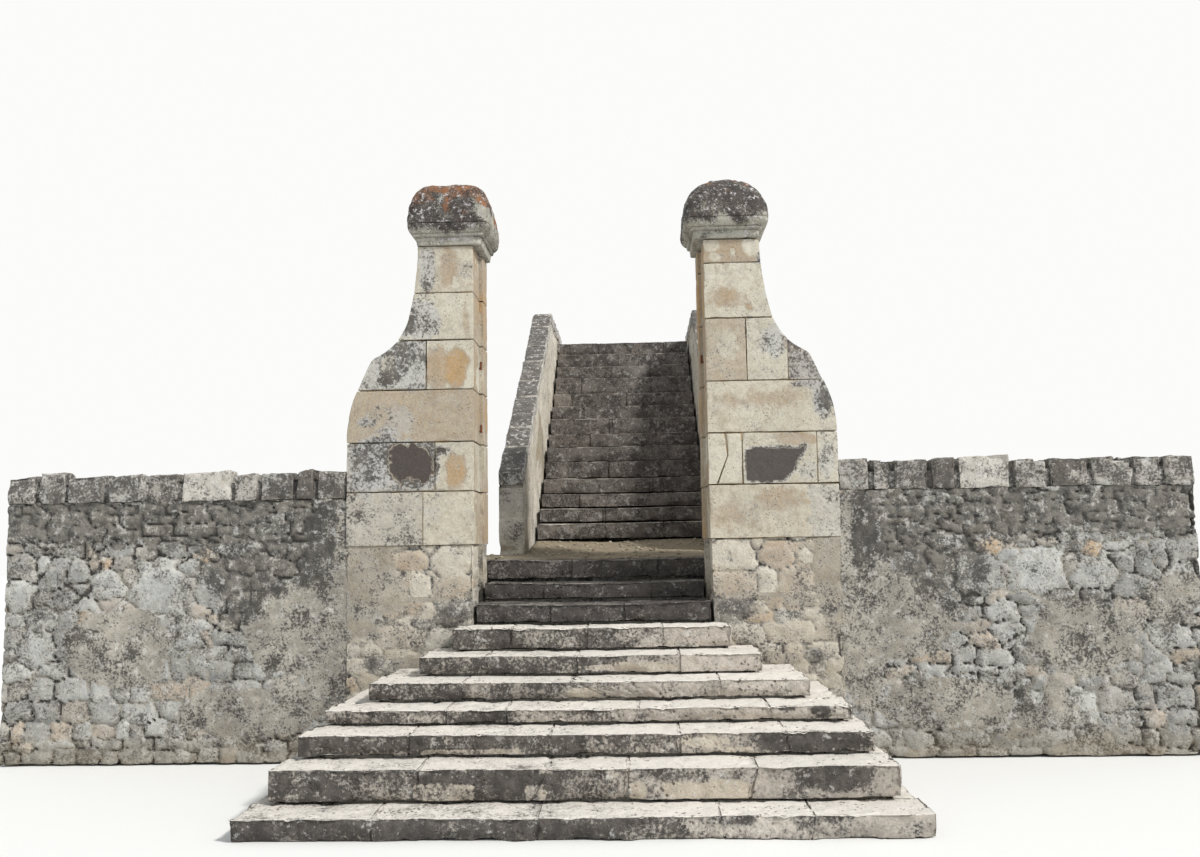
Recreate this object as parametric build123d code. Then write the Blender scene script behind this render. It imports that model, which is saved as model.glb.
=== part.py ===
from build123d import *
import os

os.makedirs("parts", exist_ok=True)

# Shared
nosing = 16  # worn rounding of every tread edge
axis_clear = 0.01  # how near an edge lies to a plane to count as on it

# Lower flight: ten risers, the first seven stepping out in front of the gate
tread = 320
steps_before_gate = 7
lower_front = -steps_before_gate * tread
lower_rise = [146, 204, 146, 105, 134, 143, 172, 164, 151, 177]
lower_half = [1990, 1880, 1800, 1726, 1510, 1226, 1040]
bearing = 80  # how far each block runs on under the next one
lower_y = [lower_front + tread * i for i in range(len(lower_rise))]
lower_z = [sum(lower_rise[: i + 1]) for i in range(len(lower_rise))]

# Gate piers, measured from the gate axis; their fronts lie in the plane Y = 0
pier_depth = 2 * tread - 30
rebate_depth = 360  # front part of the reveal, where the leaves once folded back
reveal_front = 915
reveal_back = 885
shaft_out = 1364
beds = {
    "right": [0, 1674, 2092, 2496, 2905, 3405, 3850, 4047],
    "left": [0, 1655, 2077, 2468, 2882, 3279, 3660, 4043],
}

# Swept shoulder of a pier, from the shaft down: two hollow arcs, the nose, a raking length, the belly
sweep_top = 4040
sweep_long = JernArc((shaft_out, sweep_top), (0, -1), 2330, 14.7)
sweep_short = JernArc(sweep_long @ 1, sweep_long % 1, 455, 51.2)
sweep_nose = JernArc(sweep_short @ 1, sweep_short % 1, 110, -42)
sweep_rake = Line(sweep_nose @ 1, sweep_nose @ 1 + sweep_nose % 1 * 233)
sweep_belly = JernArc(sweep_rake @ 1, sweep_rake % 1, 940, -23.9)
pier_foot_out = (sweep_belly @ 1).X

# Pier caps: how far each moulding stands out from the shaft, and at what height above the bed;
# then the cushion above the widest line, as arcs of a radius and a turn in degrees up to the crown
splay = [(6, 0), (30, 68)]
fillet_band = [(42, 68), (42, 95)]
caps = {
    "right": {"widest": (100, 172), "bends": [(450, 24), (280, 38), (340, 28)]},
    "left": {"widest": (92, 190), "bends": [(760, 18), (115, 50), (360, 22)]},
}
cap_shift = {"right": -20, "left": -12}  # the caps sit a little towards the gate
cap_corner = 120
cap_plan_clear = 5  # the plan's straight sides stay just clear of the widest line
cap_bed_spare = 60

# Garden walls either side of the piers
wall_out = 4640
wall_thick = 500
wall_top = 2050
coping_thick = 240
coping_proud = 18

# Landing behind the gate
landing_back = 2460
landing_level = 1690
bed_thick = 128
bed_under = lower_z[9] - bed_thick
kerb_depth = 360
kerb_half = reveal_front + 42

# Upper flight, to the right of the gate axis, between two parapet walls
upper_tread = 270
upper_rise = [175, 158, 158, 177, 202, 185, 170, 208, 179, 190, 235, 187, 204, 197]
upper_bearing = 60
stair_left = -650
stair_right = 1063
parapet_thick = 250
parapet_front = 1300
parapet_foot = 2310
parapet_crest = 4950  # where the raking top ends and runs on level
parapet_slope = 0.605
parapet_round = 38
top_depth = 900
top_tread = 330
flag_thick = 150
upper_y = [landing_back + upper_tread * i for i in range(len(upper_rise))]
upper_z = [landing_level + sum(upper_rise[: i + 1]) for i in range(len(upper_rise))]
top_flag_front = upper_y[-1] + top_tread
back_end = upper_y[-1] + top_depth
parapet_top = parapet_foot + parapet_slope * (parapet_crest - parapet_front)
court_half = stair_right + parapet_thick


def block(x0, x1, y0, y1, z0, z1):
    middle = ((x0 + x1) / 2, (y0 + y1) / 2, (z0 + z1) / 2)
    return Pos(*middle) * Box(x1 - x0, y1 - y0, z1 - z0)


def save(shape, name):
    solids = shape.solids()
    assert len(solids) == 1, (name, len(solids))
    export_step(solids[0], f"parts/{name}.step")


def worn(shape, top, front, half=None):
    """Rounds the tread edges of a step: the front one, and the two side ones of a wide step."""
    chosen = []
    for edge in shape.edges():
        middle = edge.center()
        level = abs(middle.Z - top) < axis_clear and abs(edge.tangent_at(0.5).Z) < axis_clear
        ahead = abs(middle.Y - front) < axis_clear
        aside = half is not None and abs(abs(middle.X) - half) < axis_clear
        if level and (ahead or aside):
            chosen.append(edge)
    return fillet(chosen, nosing)


def profile_along_x(points, x0, x1):
    """A closed outline of (Y, Z) points, run from x0 to x1."""
    face = make_face(Plane.YZ * Polyline(*points, close=True))
    return Pos(x0, 0, 0) * extrude(face, amount=x1 - x0, dir=(1, 0, 0))


# The room between the piers, that the gate steps fill from side to side
passage = block(-reveal_front, reveal_front, 0, rebate_depth, 0, sweep_top)
passage += block(-reveal_back, reveal_back, rebate_depth, pier_depth, 0, sweep_top)
passage_back = block(-reveal_back, reveal_back, pier_depth, lower_y[9], 0, sweep_top)
passage_back += block(-kerb_half, kerb_half, lower_y[9], landing_back, 0, sweep_top)
passage_all = passage + passage_back

# Steps in front of the gate, each a bar with two arms back to the wall
for i in range(6):
    foot = 0 if i == 0 else lower_z[i - 1]
    half, inner = lower_half[i], lower_half[i + 1] - bearing
    step = block(-half, half, lower_y[i], 0, foot, lower_z[i])
    step -= block(-inner, inner, lower_y[i + 1] + bearing, 0, foot, lower_z[i])
    save(worn(step, lower_z[i], lower_y[i], half), f"lower_step_{i + 1}")

# The gate sill: its ends stand in front of the piers, its middle runs in between them
sill = block(-lower_half[6], lower_half[6], lower_y[6], 0, lower_z[5], lower_z[6])
sill += block(-reveal_front, reveal_front, 0, bearing, lower_z[5], lower_z[6])
save(worn(sill, lower_z[6], lower_y[6], lower_half[6]), "lower_step_7")

# Steps between the piers, and the kerb step that holds the landing
gate_steps = []
for i in (7, 8):
    step = block(-pier_foot_out, pier_foot_out, lower_y[i], lower_y[i + 1] + bearing, lower_z[i - 1], lower_z[i])
    step = step & passage_all
    gate_steps.append(worn(step, lower_z[i], lower_y[i]))
    save(gate_steps[-1], f"lower_step_{i + 1}")
kerb = block(-kerb_half, kerb_half, lower_y[9], lower_y[9] + kerb_depth, lower_z[8], lower_z[9])
save(worn(kerb, lower_z[9], lower_y[9]), "lower_step_10")

# Rubble core of the lower flight, one layer to each step
core = block(-lower_half[1] + bearing, lower_half[1] - bearing, lower_y[1] + bearing, 0, 0, lower_z[0])
for i in range(1, 6):
    inner = lower_half[i + 1] - bearing
    core += block(-inner, inner, lower_y[i + 1] + bearing, 0, 0, lower_z[i])
gate_core = profile_along_x(
    [
        (0, 0),
        (0, lower_z[5]),
        (bearing, lower_z[5]),
        (bearing, lower_z[6]),
        (lower_y[8] + bearing, lower_z[6]),
        (lower_y[8] + bearing, lower_z[7]),
        (pier_depth, lower_z[7]),
        (pier_depth, 0),
    ],
    -reveal_front,
    reveal_front,
)
core += gate_core & passage
save(core, "lower_core")

# Landing: a rubble core with a bed of trodden earth and gravel, rising a little to the back
court = block(-court_half, court_half, pier_depth, parapet_front, 0, bed_under)
court += block(stair_left, stair_right, parapet_front, landing_back, 0, bed_under)
under_steps = block(-reveal_back, reveal_back, pier_depth, lower_y[9], lower_z[7], bed_under)
under_steps += block(
    -kerb_half, kerb_half, lower_y[9], lower_y[9] + bearing, lower_z[7], bed_under
) + block(-kerb_half, kerb_half, lower_y[9], lower_y[9] + kerb_depth, lower_z[8], bed_under)
save(court - under_steps, "landing_core")

kerb_back = lower_y[9] + kerb_depth
bed_outline = [
    (pier_depth, bed_under),
    (pier_depth, lower_z[9]),
    (kerb_back, lower_z[9]),
    (landing_back, landing_level),
    (landing_back, bed_under),
]
bed_room = block(-court_half, court_half, pier_depth, parapet_front, bed_under, landing_level)
bed_room += block(stair_left, stair_right, parapet_front, landing_back, bed_under, landing_level)
bed = profile_along_x(bed_outline, -court_half, court_half) & bed_room
bed -= block(-reveal_back, reveal_back, pier_depth, lower_y[9], bed_under, landing_level)
bed -= block(-kerb_half, kerb_half, lower_y[9], kerb_back, bed_under, landing_level)
save(bed, "landing_bed")

# Upper flight
for i in range(len(upper_rise)):
    foot = landing_level if i == 0 else upper_z[i - 1]
    last = i == len(upper_rise) - 1
    back = top_flag_front if last else upper_y[i + 1] + upper_bearing
    step = block(stair_left, stair_right, upper_y[i], back, foot, upper_z[i])
    save(worn(step, upper_z[i], upper_y[i]), f"upper_step_{i + 1}")

flag_foot = upper_z[-1] - flag_thick
flags = block(stair_left, stair_right, top_flag_front, back_end, flag_foot, upper_z[-1])
save(flags, "top_landing_flags")

stepped = [(back_end, 0), (landing_back, 0), (landing_back, landing_level)]
for i in range(len(upper_rise) - 1):
    foot = landing_level if i == 0 else upper_z[i - 1]
    stepped += [(upper_y[i + 1] + upper_bearing, foot), (upper_y[i + 1] + upper_bearing, upper_z[i])]
stepped += [(top_flag_front, upper_z[-2]), (top_flag_front, flag_foot), (back_end, flag_foot)]
save(profile_along_x(stepped, stair_left, stair_right), "upper_core")

# Parapet walls: a raking top over the steps, level over the top landing
parapet_outline = [
    (parapet_front, 0),
    (parapet_front, parapet_foot),
    (parapet_crest, parapet_top),
    (back_end, parapet_top),
    (back_end, 0),
]
for side, start in (("left", stair_left - parapet_thick), ("right", stair_right)):
    parapet = profile_along_x(parapet_outline, start, start + parapet_thick)
    top_edges = [
        edge
        for edge in parapet.edges()
        if edge.center().Z > parapet_foot + 1 and abs(edge.tangent_at(0.5).X) < axis_clear
        and abs(edge.tangent_at(0.5).Y) > axis_clear
    ]
    save(fillet(top_edges, parapet_round), f"{side}_parapet_wall")


def pier(top):
    """The right-hand pier in one: straight shaft, swept shoulder, broad foot, rebated reveal."""
    rim = Polyline(
        sweep_belly @ 1, (pier_foot_out, 0), (reveal_back, 0), (reveal_back, top), (shaft_out, top), sweep_long @ 0
    )
    outline = sweep_long + sweep_short + sweep_nose + sweep_rake + sweep_belly + rim
    body = extrude(make_face(Plane.XZ * outline), amount=pier_depth, dir=(0, 1, 0))
    return body - block(reveal_back, reveal_front, 0, rebate_depth, 0, top)


def moulding(half, widest, bends):
    """Outline of a cap over a shaft face: splay, fillet, quarter round, and the cushion over them."""
    flat = [(half + out, z) for out, z in splay + fillet_band]
    waist = (half + widest[0], widest[1])
    edge = Polyline((0, 0), *flat) + TangentArc(waist, flat[-1], tangent=(0, -1))
    point, heading = Vector(waist), Vector(0, 1)
    for radius, turn in bends:
        arc = JernArc(point, heading, radius, turn)
        point, heading = arc @ 1, arc % 1
        edge += arc
    edge += Line(point, (0, point.Y))
    return make_face(edge + mirror(edge, Plane.YZ))


def cap(**form):
    """The mouldings mitre at the corners, and the corners of the broad cushion are worn round."""
    width, depth = shaft_out - reveal_back, pier_depth
    across = extrude(Plane.XZ * moulding(width / 2, **form), amount=depth, both=True)
    along = extrude(Plane.YZ * moulding(depth / 2, **form), amount=width, both=True)
    reach = 2 * (form["widest"][0] + cap_plan_clear)
    plan = extrude(RectangleRounded(width + reach, depth + reach, cap_corner), amount=width + depth)
    return across & along & plan


shaft_middle = (shaft_out + reveal_back) / 2
for side, levels in beds.items():
    whole = pier(sweep_top + cap_bed_spare)
    pieces = {}
    for k in range(len(levels) - 1):
        slab = block(0, wall_out, 0, pier_depth, levels[k], levels[k + 1])
        pieces["base" if k == 0 else f"course_{k}"] = whole & slab
    pieces["cap"] = Pos(shaft_middle + cap_shift[side], pier_depth / 2, levels[-1]) * cap(**caps[side])
    for name, piece in pieces.items():
        piece = mirror(piece, Plane.YZ) if side == "left" else piece
        save(piece, f"{side}_pier_{name}")

# Garden walls and their rough copings
for side in ("left", "right"):
    ends = (pier_foot_out, wall_out) if side == "right" else (-wall_out, -pier_foot_out)
    save(block(*ends, 0, wall_thick, 0, wall_top), f"{side}_garden_wall")
    coping = block(*ends, -coping_proud, wall_thick + coping_proud, wall_top, wall_top + coping_thick)
    ridge = [edge for edge in coping.edges() if edge.center().Z > wall_top + coping_thick - 1]
    ridge = [edge for edge in ridge if abs(edge.tangent_at(0.5).X) > 0.9]
    save(fillet(ridge, 30), f"{side}_wall_coping")
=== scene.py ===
import math

import bpy
import numpy as np
from mathutils import Matrix, Vector


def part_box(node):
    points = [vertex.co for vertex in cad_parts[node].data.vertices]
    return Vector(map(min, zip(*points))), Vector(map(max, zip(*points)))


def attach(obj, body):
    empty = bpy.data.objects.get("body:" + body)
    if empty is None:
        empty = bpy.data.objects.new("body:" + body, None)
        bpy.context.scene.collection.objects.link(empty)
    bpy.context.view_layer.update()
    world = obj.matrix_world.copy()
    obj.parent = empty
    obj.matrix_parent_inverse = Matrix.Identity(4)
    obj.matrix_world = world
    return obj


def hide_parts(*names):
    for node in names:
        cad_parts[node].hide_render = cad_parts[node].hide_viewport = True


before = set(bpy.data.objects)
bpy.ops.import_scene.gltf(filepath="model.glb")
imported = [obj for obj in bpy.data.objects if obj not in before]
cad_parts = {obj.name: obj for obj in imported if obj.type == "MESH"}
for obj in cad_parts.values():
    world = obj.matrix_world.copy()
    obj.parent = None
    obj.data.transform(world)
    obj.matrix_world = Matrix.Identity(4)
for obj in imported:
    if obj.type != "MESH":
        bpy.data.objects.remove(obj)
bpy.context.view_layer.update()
print("frame loaded:", len(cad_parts), "nodes")


# Noise and mesh tools


def smooth(value, low, high):
    t = np.clip((value - low) / (high - low), 0, 1)
    return t * t * (3 - 2 * t)


def noise(points, size, seed, octaves=1):
    # Smooth lattice noise, about 0 to 1, with features of the given size in metres
    table = np.random.default_rng(seed).random((32, 32, 32))
    total, weight, allWeight = 0, 1.0, 0.0
    for octave in range(octaves):
        place = points / (np.asarray(size) / 2**octave) + 7.3 * octave
        cell = np.floor(place).astype(int)
        part = place - cell
        part = part * part * (3 - 2 * part)
        value = 0
        for corner in range(8):
            step = np.array([corner & 1, corner >> 1 & 1, corner >> 2 & 1])
            share = np.prod(np.where(step, part, 1 - part), axis=1)
            value = value + share * table[tuple(((cell + step) % 32).T)]
        total = total + weight * value
        allWeight += weight
        weight *= 0.5
    return total / allWeight


edgeCuts = np.array([0, 0.14, 0.36, 0.66])  # where the mesh is cut across a rounded edge, in shares of its width


def cuts(start, end, grid, edge):
    # Places along one side of a block, closer together where its worn edges turn
    inner = max(2, int(round((end - start - 2 * edge) / grid)) + 1)
    near = edge * edgeCuts
    return np.concatenate([start + near, np.linspace(start + edge, end - edge, inner), end - near[::-1]])


def boxShell(xs, ys, zs, plain=()):
    # Closed skin of a box over three lists of places. Sides named in plain, such as "y-", are out of sight and get
    # a fan of triangles, which have -1 in place of a fourth corner.
    counts = (len(xs), len(ys), len(zs))
    stride = (counts[1] * counts[2], counts[2], 1)
    sides = []
    for axis in range(3):
        u, v = (axis + 1) % 3, (axis + 2) % 3
        lastU, lastV = counts[u] - 1, counts[v] - 1
        across, up = np.arange(lastU), np.arange(lastV)
        for end in (0, 1):
            level = end * (counts[axis] - 1) * stride[axis]
            if "xyz"[axis] + "-+"[end] in plain:
                rimU = np.concatenate([across, 0 * up + lastU, lastU - across, 0 * up])
                rimV = np.concatenate([0 * across, up, 0 * across + lastV, lastV - up])
                rim = level + rimU * stride[u] + rimV * stride[v]
                middle = level + (lastU // 2) * stride[u] + (lastV // 2) * stride[v]
                side = np.stack([rim, np.roll(rim, -1), 0 * rim + middle, 0 * rim - 1], 1)
            else:
                a, b = (grid.ravel() for grid in np.meshgrid(across, up, indexing="ij"))
                around = ((0, 0), (1, 0), (1, 1), (0, 1))
                side = np.stack([level + (a + da) * stride[u] + (b + db) * stride[v] for da, db in around], 1)
            sides.append(side if end else side[:, ::-1])
    used, faces = np.unique(np.concatenate(sides), return_inverse=True)
    faces = faces.reshape(-1, 4)
    if used[0] < 0:  # the triangles' missing corner isn't a point
        used, faces = used[1:], faces - 1
    i, rest = np.divmod(used, stride[0])
    j, k = np.divmod(rest, stride[1])
    return np.stack([xs[i], ys[j], zs[k]], 1), faces


def roundedBox(points, lo, hi, radius):
    # Where each point of a box's skin goes when the edges are rounded by its own radius, and its normal
    middle, half = (lo + hi) / 2, (hi - lo) / 2
    radius = np.minimum(radius, 0.45 * half.min())[:, None]
    offset = points - middle
    core = np.clip(offset, radius - half, half - radius)
    away = offset - core
    normal = away / np.maximum(np.linalg.norm(away, axis=1, keepdims=True), 1e-9)
    return middle + core + normal * radius, normal


def part(points, faces, tint, wear=0.0):
    count = len(points)
    tint = np.broadcast_to(np.asarray(tint, float), (count, 4)).copy()
    return {"points": points, "faces": faces, "tint": tint, "wear": np.broadcast_to(wear, count).copy()}


# What a dressed stone's look says, in metres: grid of its mesh, round of its edges and depth of their chips, how
# uneven its faces are and in lumps of what size, and the depth of its pits
erosion = {
    # Shared by them all: sizes, and between which levels of the noise a chip or a pit opens
    "margin": 2.4,  # of closer mesh along an edge, in roundings
    "edge": {"size": 0.13, "least": 0.45, "varies": 1.1},
    "chip": {"size": 0.09, "open": (0.56, 0.74)},
    "pit": {"size": 0.05, "open": (0.6, 0.8)},
}


def wornBlock(lo, hi, look, seed, tint, plain=()):
    # One dressed stone: edges rounded and chipped unevenly, faces sunk a little here and there
    lo, hi = np.array(lo, float), np.array(hi, float)
    edge, chip, pit = erosion["edge"], erosion["chip"], erosion["pit"]
    margin = min(erosion["margin"] * look["round"], 0.3 * (hi - lo).min())
    points, faces = boxShell(*(cuts(lo[i], hi[i], look["grid"], margin) for i in range(3)), plain)
    radius = look["round"] * (edge["least"] + edge["varies"] * noise(points, edge["size"], seed, 2))
    radius = radius + look["chips"] * smooth(noise(points, chip["size"], seed + 1, 2), *chip["open"])
    placed, normal = roundedBox(points, lo, hi, radius)
    sunk = look["uneven"] * noise(points, look["lump"], seed + 2, 3)
    sunk = sunk + look["pits"] * smooth(noise(points, pit["size"], seed + 3, 2), *pit["open"])
    placed = placed - normal * sunk[:, None]
    return part(placed, faces, tint, np.clip((1 - np.abs(normal).max(axis=1)) / 0.29, 0, 1))


def jointFill(lo, hi, look, seed, inset, tint=(0.4, 0.3, 0.5, 1.0), plain=()):
    # Mortar just behind a course's face, which it follows because the seed is the course's own. Little of it is
    # seen, so its mesh is coarser.
    lo, hi = np.array(lo, float) + inset, np.array(hi, float) - inset
    return wornBlock(lo, hi, {**look, "grid": 3 * look["grid"], "chips": 0.0}, seed, tint, plain)


def filling(lo, hi, inset=0.022, tint=(0.4, 0.3, 0.35, 1.0)):
    # The plain mass of mortar and fill inside
    lo, hi = np.array(lo, float) + inset, np.array(hi, float) - inset
    points, faces = boxShell(*(np.linspace(lo[i], hi[i], 3) for i in range(3)))
    return part(points, faces, tint)


def slanted(piece, start, end, startLine, endLine):
    # Gives a block's two ends the lines of their joints, each (x, z) from the top down
    points = piece["points"]
    ends = []
    for line in (startLine, endLine):
        xs, zs = zip(*line[::-1])
        ends.append(np.interp(points[:, 2], zs, xs))
    points[:, 0] = ends[0] + (points[:, 0] - start) / (end - start) * (ends[1] - ends[0])
    return piece


def mirrored(piece):
    return {**piece, "points": piece["points"] * (-1, 1, 1), "faces": piece["faces"][:, ::-1]}


def onSide(piece, side):
    # What stands on both sides is made on the right, and turned over for the left
    return mirrored(piece) if side == "left" else piece


def corners(node, side="right"):
    # A node's lowest and highest corners, turned over to the right for one that stands on the left
    lo, hi = (np.array(corner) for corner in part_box(node))
    if side == "left":
        lo[0], hi[0] = -hi[0], -lo[0]
    return lo, hi


def makePiece(name, parts, material, slotName, *nodes):
    # One mesh of all parts, with their tints and wear for the materials
    starts = np.cumsum([0] + [len(p["points"]) for p in parts])
    faces = np.concatenate([np.where(p["faces"] < 0, -1, p["faces"] + start) for p, start in zip(parts, starts)])
    joined = (np.concatenate([p[key] for p in parts]).astype(np.float32) for key in ("points", "tint", "wear"))
    points, tints, wears = joined
    mesh = bpy.data.meshes.new(name)
    mesh.vertices.add(len(points))
    mesh.vertices.foreach_set("co", points.ravel())
    loops, sizes = faces[faces >= 0], (faces >= 0).sum(axis=1)
    mesh.loops.add(len(loops))
    mesh.loops.foreach_set("vertex_index", loops.astype(np.int32))
    mesh.polygons.add(len(faces))
    mesh.polygons.foreach_set("loop_start", (np.cumsum(sizes) - sizes).astype(np.int32))
    mesh.update(calc_edges=True)
    mesh.attributes.new("tint", "FLOAT_COLOR", "POINT").data.foreach_set("color", tints.ravel())
    mesh.attributes.new("wear", "FLOAT", "POINT").data.foreach_set("value", wears)
    mesh.shade_smooth()
    mesh.materials.append(material)
    piece = bpy.data.objects.new(name, mesh)
    bpy.context.scene.collection.objects.link(piece)
    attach(piece, "root")
    if nodes:
        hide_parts(*nodes)
    return piece


rubbleSpread = {
    # How rough stones in courses differ, in shares of the usual size
    "tall": (0.65, 1.4), "start": (0, 0.8), "wide": (0.55, 1.6), "level": (0.38, 0.62), "halfTall": (0.4, 0.56),
    "room": 1.35,  # kept clear around a placed stone
}


def coursedStones(lo, hi, size, seed, placed=()):
    # Rows of centre and half size for rough stones laid in courses; placed ones keep their room
    rng, spread = np.random.default_rng(seed), rubbleSpread
    long = 0 if hi[0] - lo[0] >= hi[1] - lo[1] else 1
    thin = 1 - long
    layers = max(1, int(round((hi[thin] - lo[thin]) / size[1])))
    deep = (hi[thin] - lo[thin]) / layers
    stones, level = [], lo[2]
    while level < hi[2]:
        tall = size[2] * rng.uniform(*spread["tall"])
        for layer in range(layers):
            along = lo[long] - size[0] * rng.uniform(*spread["start"])
            while along < hi[long]:
                wide = size[0] * rng.uniform(*spread["wide"])
                centre = [0, 0, level + tall * rng.uniform(*spread["level"])]
                half = [0, 0, tall * rng.uniform(*spread["halfTall"])]
                centre[long], half[long] = along + wide / 2, wide / 2
                centre[thin], half[thin] = lo[thin] + deep * (layer + 0.5), deep / 2
                stones.append(centre + half)
                along += wide
        level += tall
    stones = np.array(stones)
    keep = np.ones(len(stones), bool)
    for x, y, z, halfX, halfY, halfZ in placed:
        near = np.abs(stones[:, :3] - (x, y, z)) / (halfX, halfY, halfZ)
        keep &= (near**3).sum(axis=1) > spread["room"]
    return np.concatenate([np.array(placed, float).reshape(-1, 6), stones[keep]])


def nearestStone(points, stones, square):
    # For each point: its stone, the distance to it in stone sizes, and how much further the next one is
    index, first, gap = [], [], []
    centres, halves = stones[:, :3].astype(np.float32), stones[:, 3:].astype(np.float32)
    batch = 6000  # points at a time, to spare memory
    for start in range(0, len(points), batch):
        some = points[start : start + batch].astype(np.float32)
        apart = np.abs(some[:, None] - centres[None]) / halves[None]
        apart = (apart**square).sum(axis=2) ** (1 / square)
        order = np.argpartition(apart, 1, axis=1)[:, :2]
        pair = np.sort(np.take_along_axis(apart, order, 1), axis=1)
        index.append(apart.argmin(axis=1))
        first.append(pair[:, 0])
        gap.append(pair[:, 1] - pair[:, 0])
    return np.concatenate(index), np.concatenate(first), np.concatenate(gap)


# What a rubble wall's look says: grid and round as above, joint is the width of the mortar in stone sizes, deep how far
# it is sunk, proud how far the stones differ, bulge how round they are and uneven how rough. Coat is the share under
# old render, warm and dark are the most of each in a stone, ragged moves the outlines, and square makes them squarer.
# Crevice is how dark the gaps are. The sizes below, in metres, are those of the unevenness itself.
rubbleSizes = {
    "edge": 0.04, "round": 0.2, "outline": 0.13, "joint": 0.05, "coat": 0.55, "coatEdge": 0.16, "crevice": 0.35,
    "coatSwell": 0.3, "skin": 0.09, "coatSkin": 0.04,
}


def renderCoat(placed, lo, hi, look, coats, seed):
    # How much old render covers each point: here and there, and on the front in the patches (x, z, half sizes)
    sizes = rubbleSizes
    coat = smooth(noise(placed, sizes["coat"], seed + 2, 3), 1 - look["coat"], 1 - look["coat"] + 0.08)
    ragged = 0.5 * noise(placed, sizes["coatEdge"], seed + 9, 3)
    front = placed[:, 1] < lo[1] + 0.5 * (hi[1] - lo[1])
    for x, z, halfX, halfZ in coats:
        reach = np.sqrt(((placed[:, 0] - x) / halfX) ** 2 + ((placed[:, 2] - z) / halfZ) ** 2)
        coat = np.maximum(coat, front * (1 - smooth(reach + ragged, 1.15, 1.35)))
    return coat


def rubbleBlock(lo, hi, look, stones, seed, plain=(), coats=(), tints={}, shape=None):
    # A mass of rough stones in mortar, partly under old render; tints are for the stones with a place of their own
    lo, hi, sizes = np.array(lo, float), np.array(hi, float), rubbleSizes
    points, faces = boxShell(*(cuts(lo[i], hi[i], look["grid"], sizes["edge"]) for i in range(3)), plain)
    placed, normal = roundedBox(points, lo, hi, look["round"] * (0.5 + noise(points, sizes["round"], seed)))
    if shape:
        placed = shape(placed)
    wobble = np.stack([noise(placed, sizes["outline"], seed + 5 + axis, 3) for axis in range(3)], 1) - 0.5
    index, near, gap = nearestStone(placed + look["ragged"] * wobble, stones, look["square"])
    own = np.random.default_rng(seed).random((len(stones), 4))  # each stone's height, tone, warmth and darkness
    joint = 1 - smooth(gap + 0.14 * (noise(placed, sizes["joint"], seed + 1, 2) - 0.5), 0.02, look["joint"])
    coat = renderCoat(placed, lo, hi, look, coats, seed)
    crevice = smooth(noise(placed, sizes["crevice"], seed + 12, 2), 0.45, 0.6) * (1 - smooth(gap, 0.03, 0.11))

    sunk = look["deep"] * (joint + crevice) + look["proud"] * own[index, 0] + look["bulge"] * near**2 * 0.5
    swell = 0.5 + noise(placed, sizes["coatSwell"], seed + 3, 2)
    sunk = sunk * (1 - coat) + coat * 0.45 * look["deep"] * swell
    sunk = sunk + look["uneven"] * noise(placed, sizes["skin"], seed + 4, 3)
    sunk = sunk + 0.5 * look["uneven"] * coat * noise(placed, sizes["coatSkin"], seed + 15, 2)
    placed = placed - normal * sunk[:, None]

    tint = np.empty((len(placed), 4))
    tint[:, 0] = own[index, 1]
    tint[:, 1] = look["warm"] * own[index, 2] ** 3
    tint[:, 2] = look["dark"] * own[index, 3] ** 2
    for stone, values in tints.items():
        tint[index == stone, :3] = values
    tint[:, 2] = np.maximum(tint[:, 2] * (1 - 0.3 * coat), look["crevice"] * crevice * (1 - coat))
    tint[:, 3] = np.maximum(joint, coat)
    return part(placed, faces, tint, smooth(near, 0.55, 1.0) * (1 - tint[:, 3]))


def stain(piece, patches, seed, frontTo=None):
    # Colour areas with ragged edges: x, z, half width, half height, channel, amount, softness, lean sideways
    points, usual = piece["points"], (0.4, 0.0)
    ragged = 0.65 * noise(points, 0.12, seed, 4) + 0.35 * noise(points, 0.03, seed + 1, 2) - 0.5
    for patch in patches:
        x, z, halfX, halfZ, channel, amount, soft, lean = patch + usual[len(patch) - 6 :]
        power = 12 if soft < 0.25 or lean else 2.4  # nearly a rectangle, or an oval
        across, up = points[:, 0] - x - lean * (points[:, 2] - z), points[:, 2] - z
        reach = (np.abs(across / halfX) ** power + np.abs(up / halfZ) ** power) ** (1 / power)
        cover = 1 - smooth(reach + 2.6 * soft * ragged, 1 - soft / 2, 1 + soft / 2)
        if frontTo is not None:
            cover = cover * (points[:, 1] < frontTo)
        tint = piece["tint"]
        tint[:, channel] = tint[:, channel] * (1 - cover) + amount * cover
    return piece


# Shader tools


def paint(red, green, blue):
    # A colour as a paint chart gives it, 0 to 255, for a node
    levels = [level / 255 for level in (red, green, blue)]
    return [level / 12.92 if level <= 0.04045 else ((level + 0.055) / 1.055) ** 2.4 for level in levels] + [1.0]


def feed(tree, node, inputs):
    for key, value in inputs.items():
        if isinstance(value, bpy.types.NodeSocket):
            tree.links.new(value, node.inputs[key])
        else:
            node.inputs[key].default_value = value
    return node


def add(tree, kind, inputs={}, **settings):
    node = tree.nodes.new("ShaderNode" + kind)
    for key, value in settings.items():
        setattr(node, key, value)
    return feed(tree, node, inputs)


def mathOf(tree, operation, first, second=0.0, clamp=False):
    return add(tree, "Math", {0: first, 1: second}, operation=operation, use_clamp=clamp).outputs[0]


def times(tree, first, second):
    return mathOf(tree, "MULTIPLY", first, second)


def plus(tree, first, second, share):
    return mathOf(tree, "ADD", first, times(tree, second, share))


def minus(tree, first, second, share):
    return mathOf(tree, "SUBTRACT", first, times(tree, second, share))


def mask(tree, value, low, high, top=1.0):
    # 0 up to low and the top value from high on, with a soft step between
    settings = {"Value": value, "From Min": low, "From Max": high, "To Min": 0.0, "To Max": top}
    return add(tree, "MapRange", settings, interpolation_type="SMOOTHSTEP").outputs[0]


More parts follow.
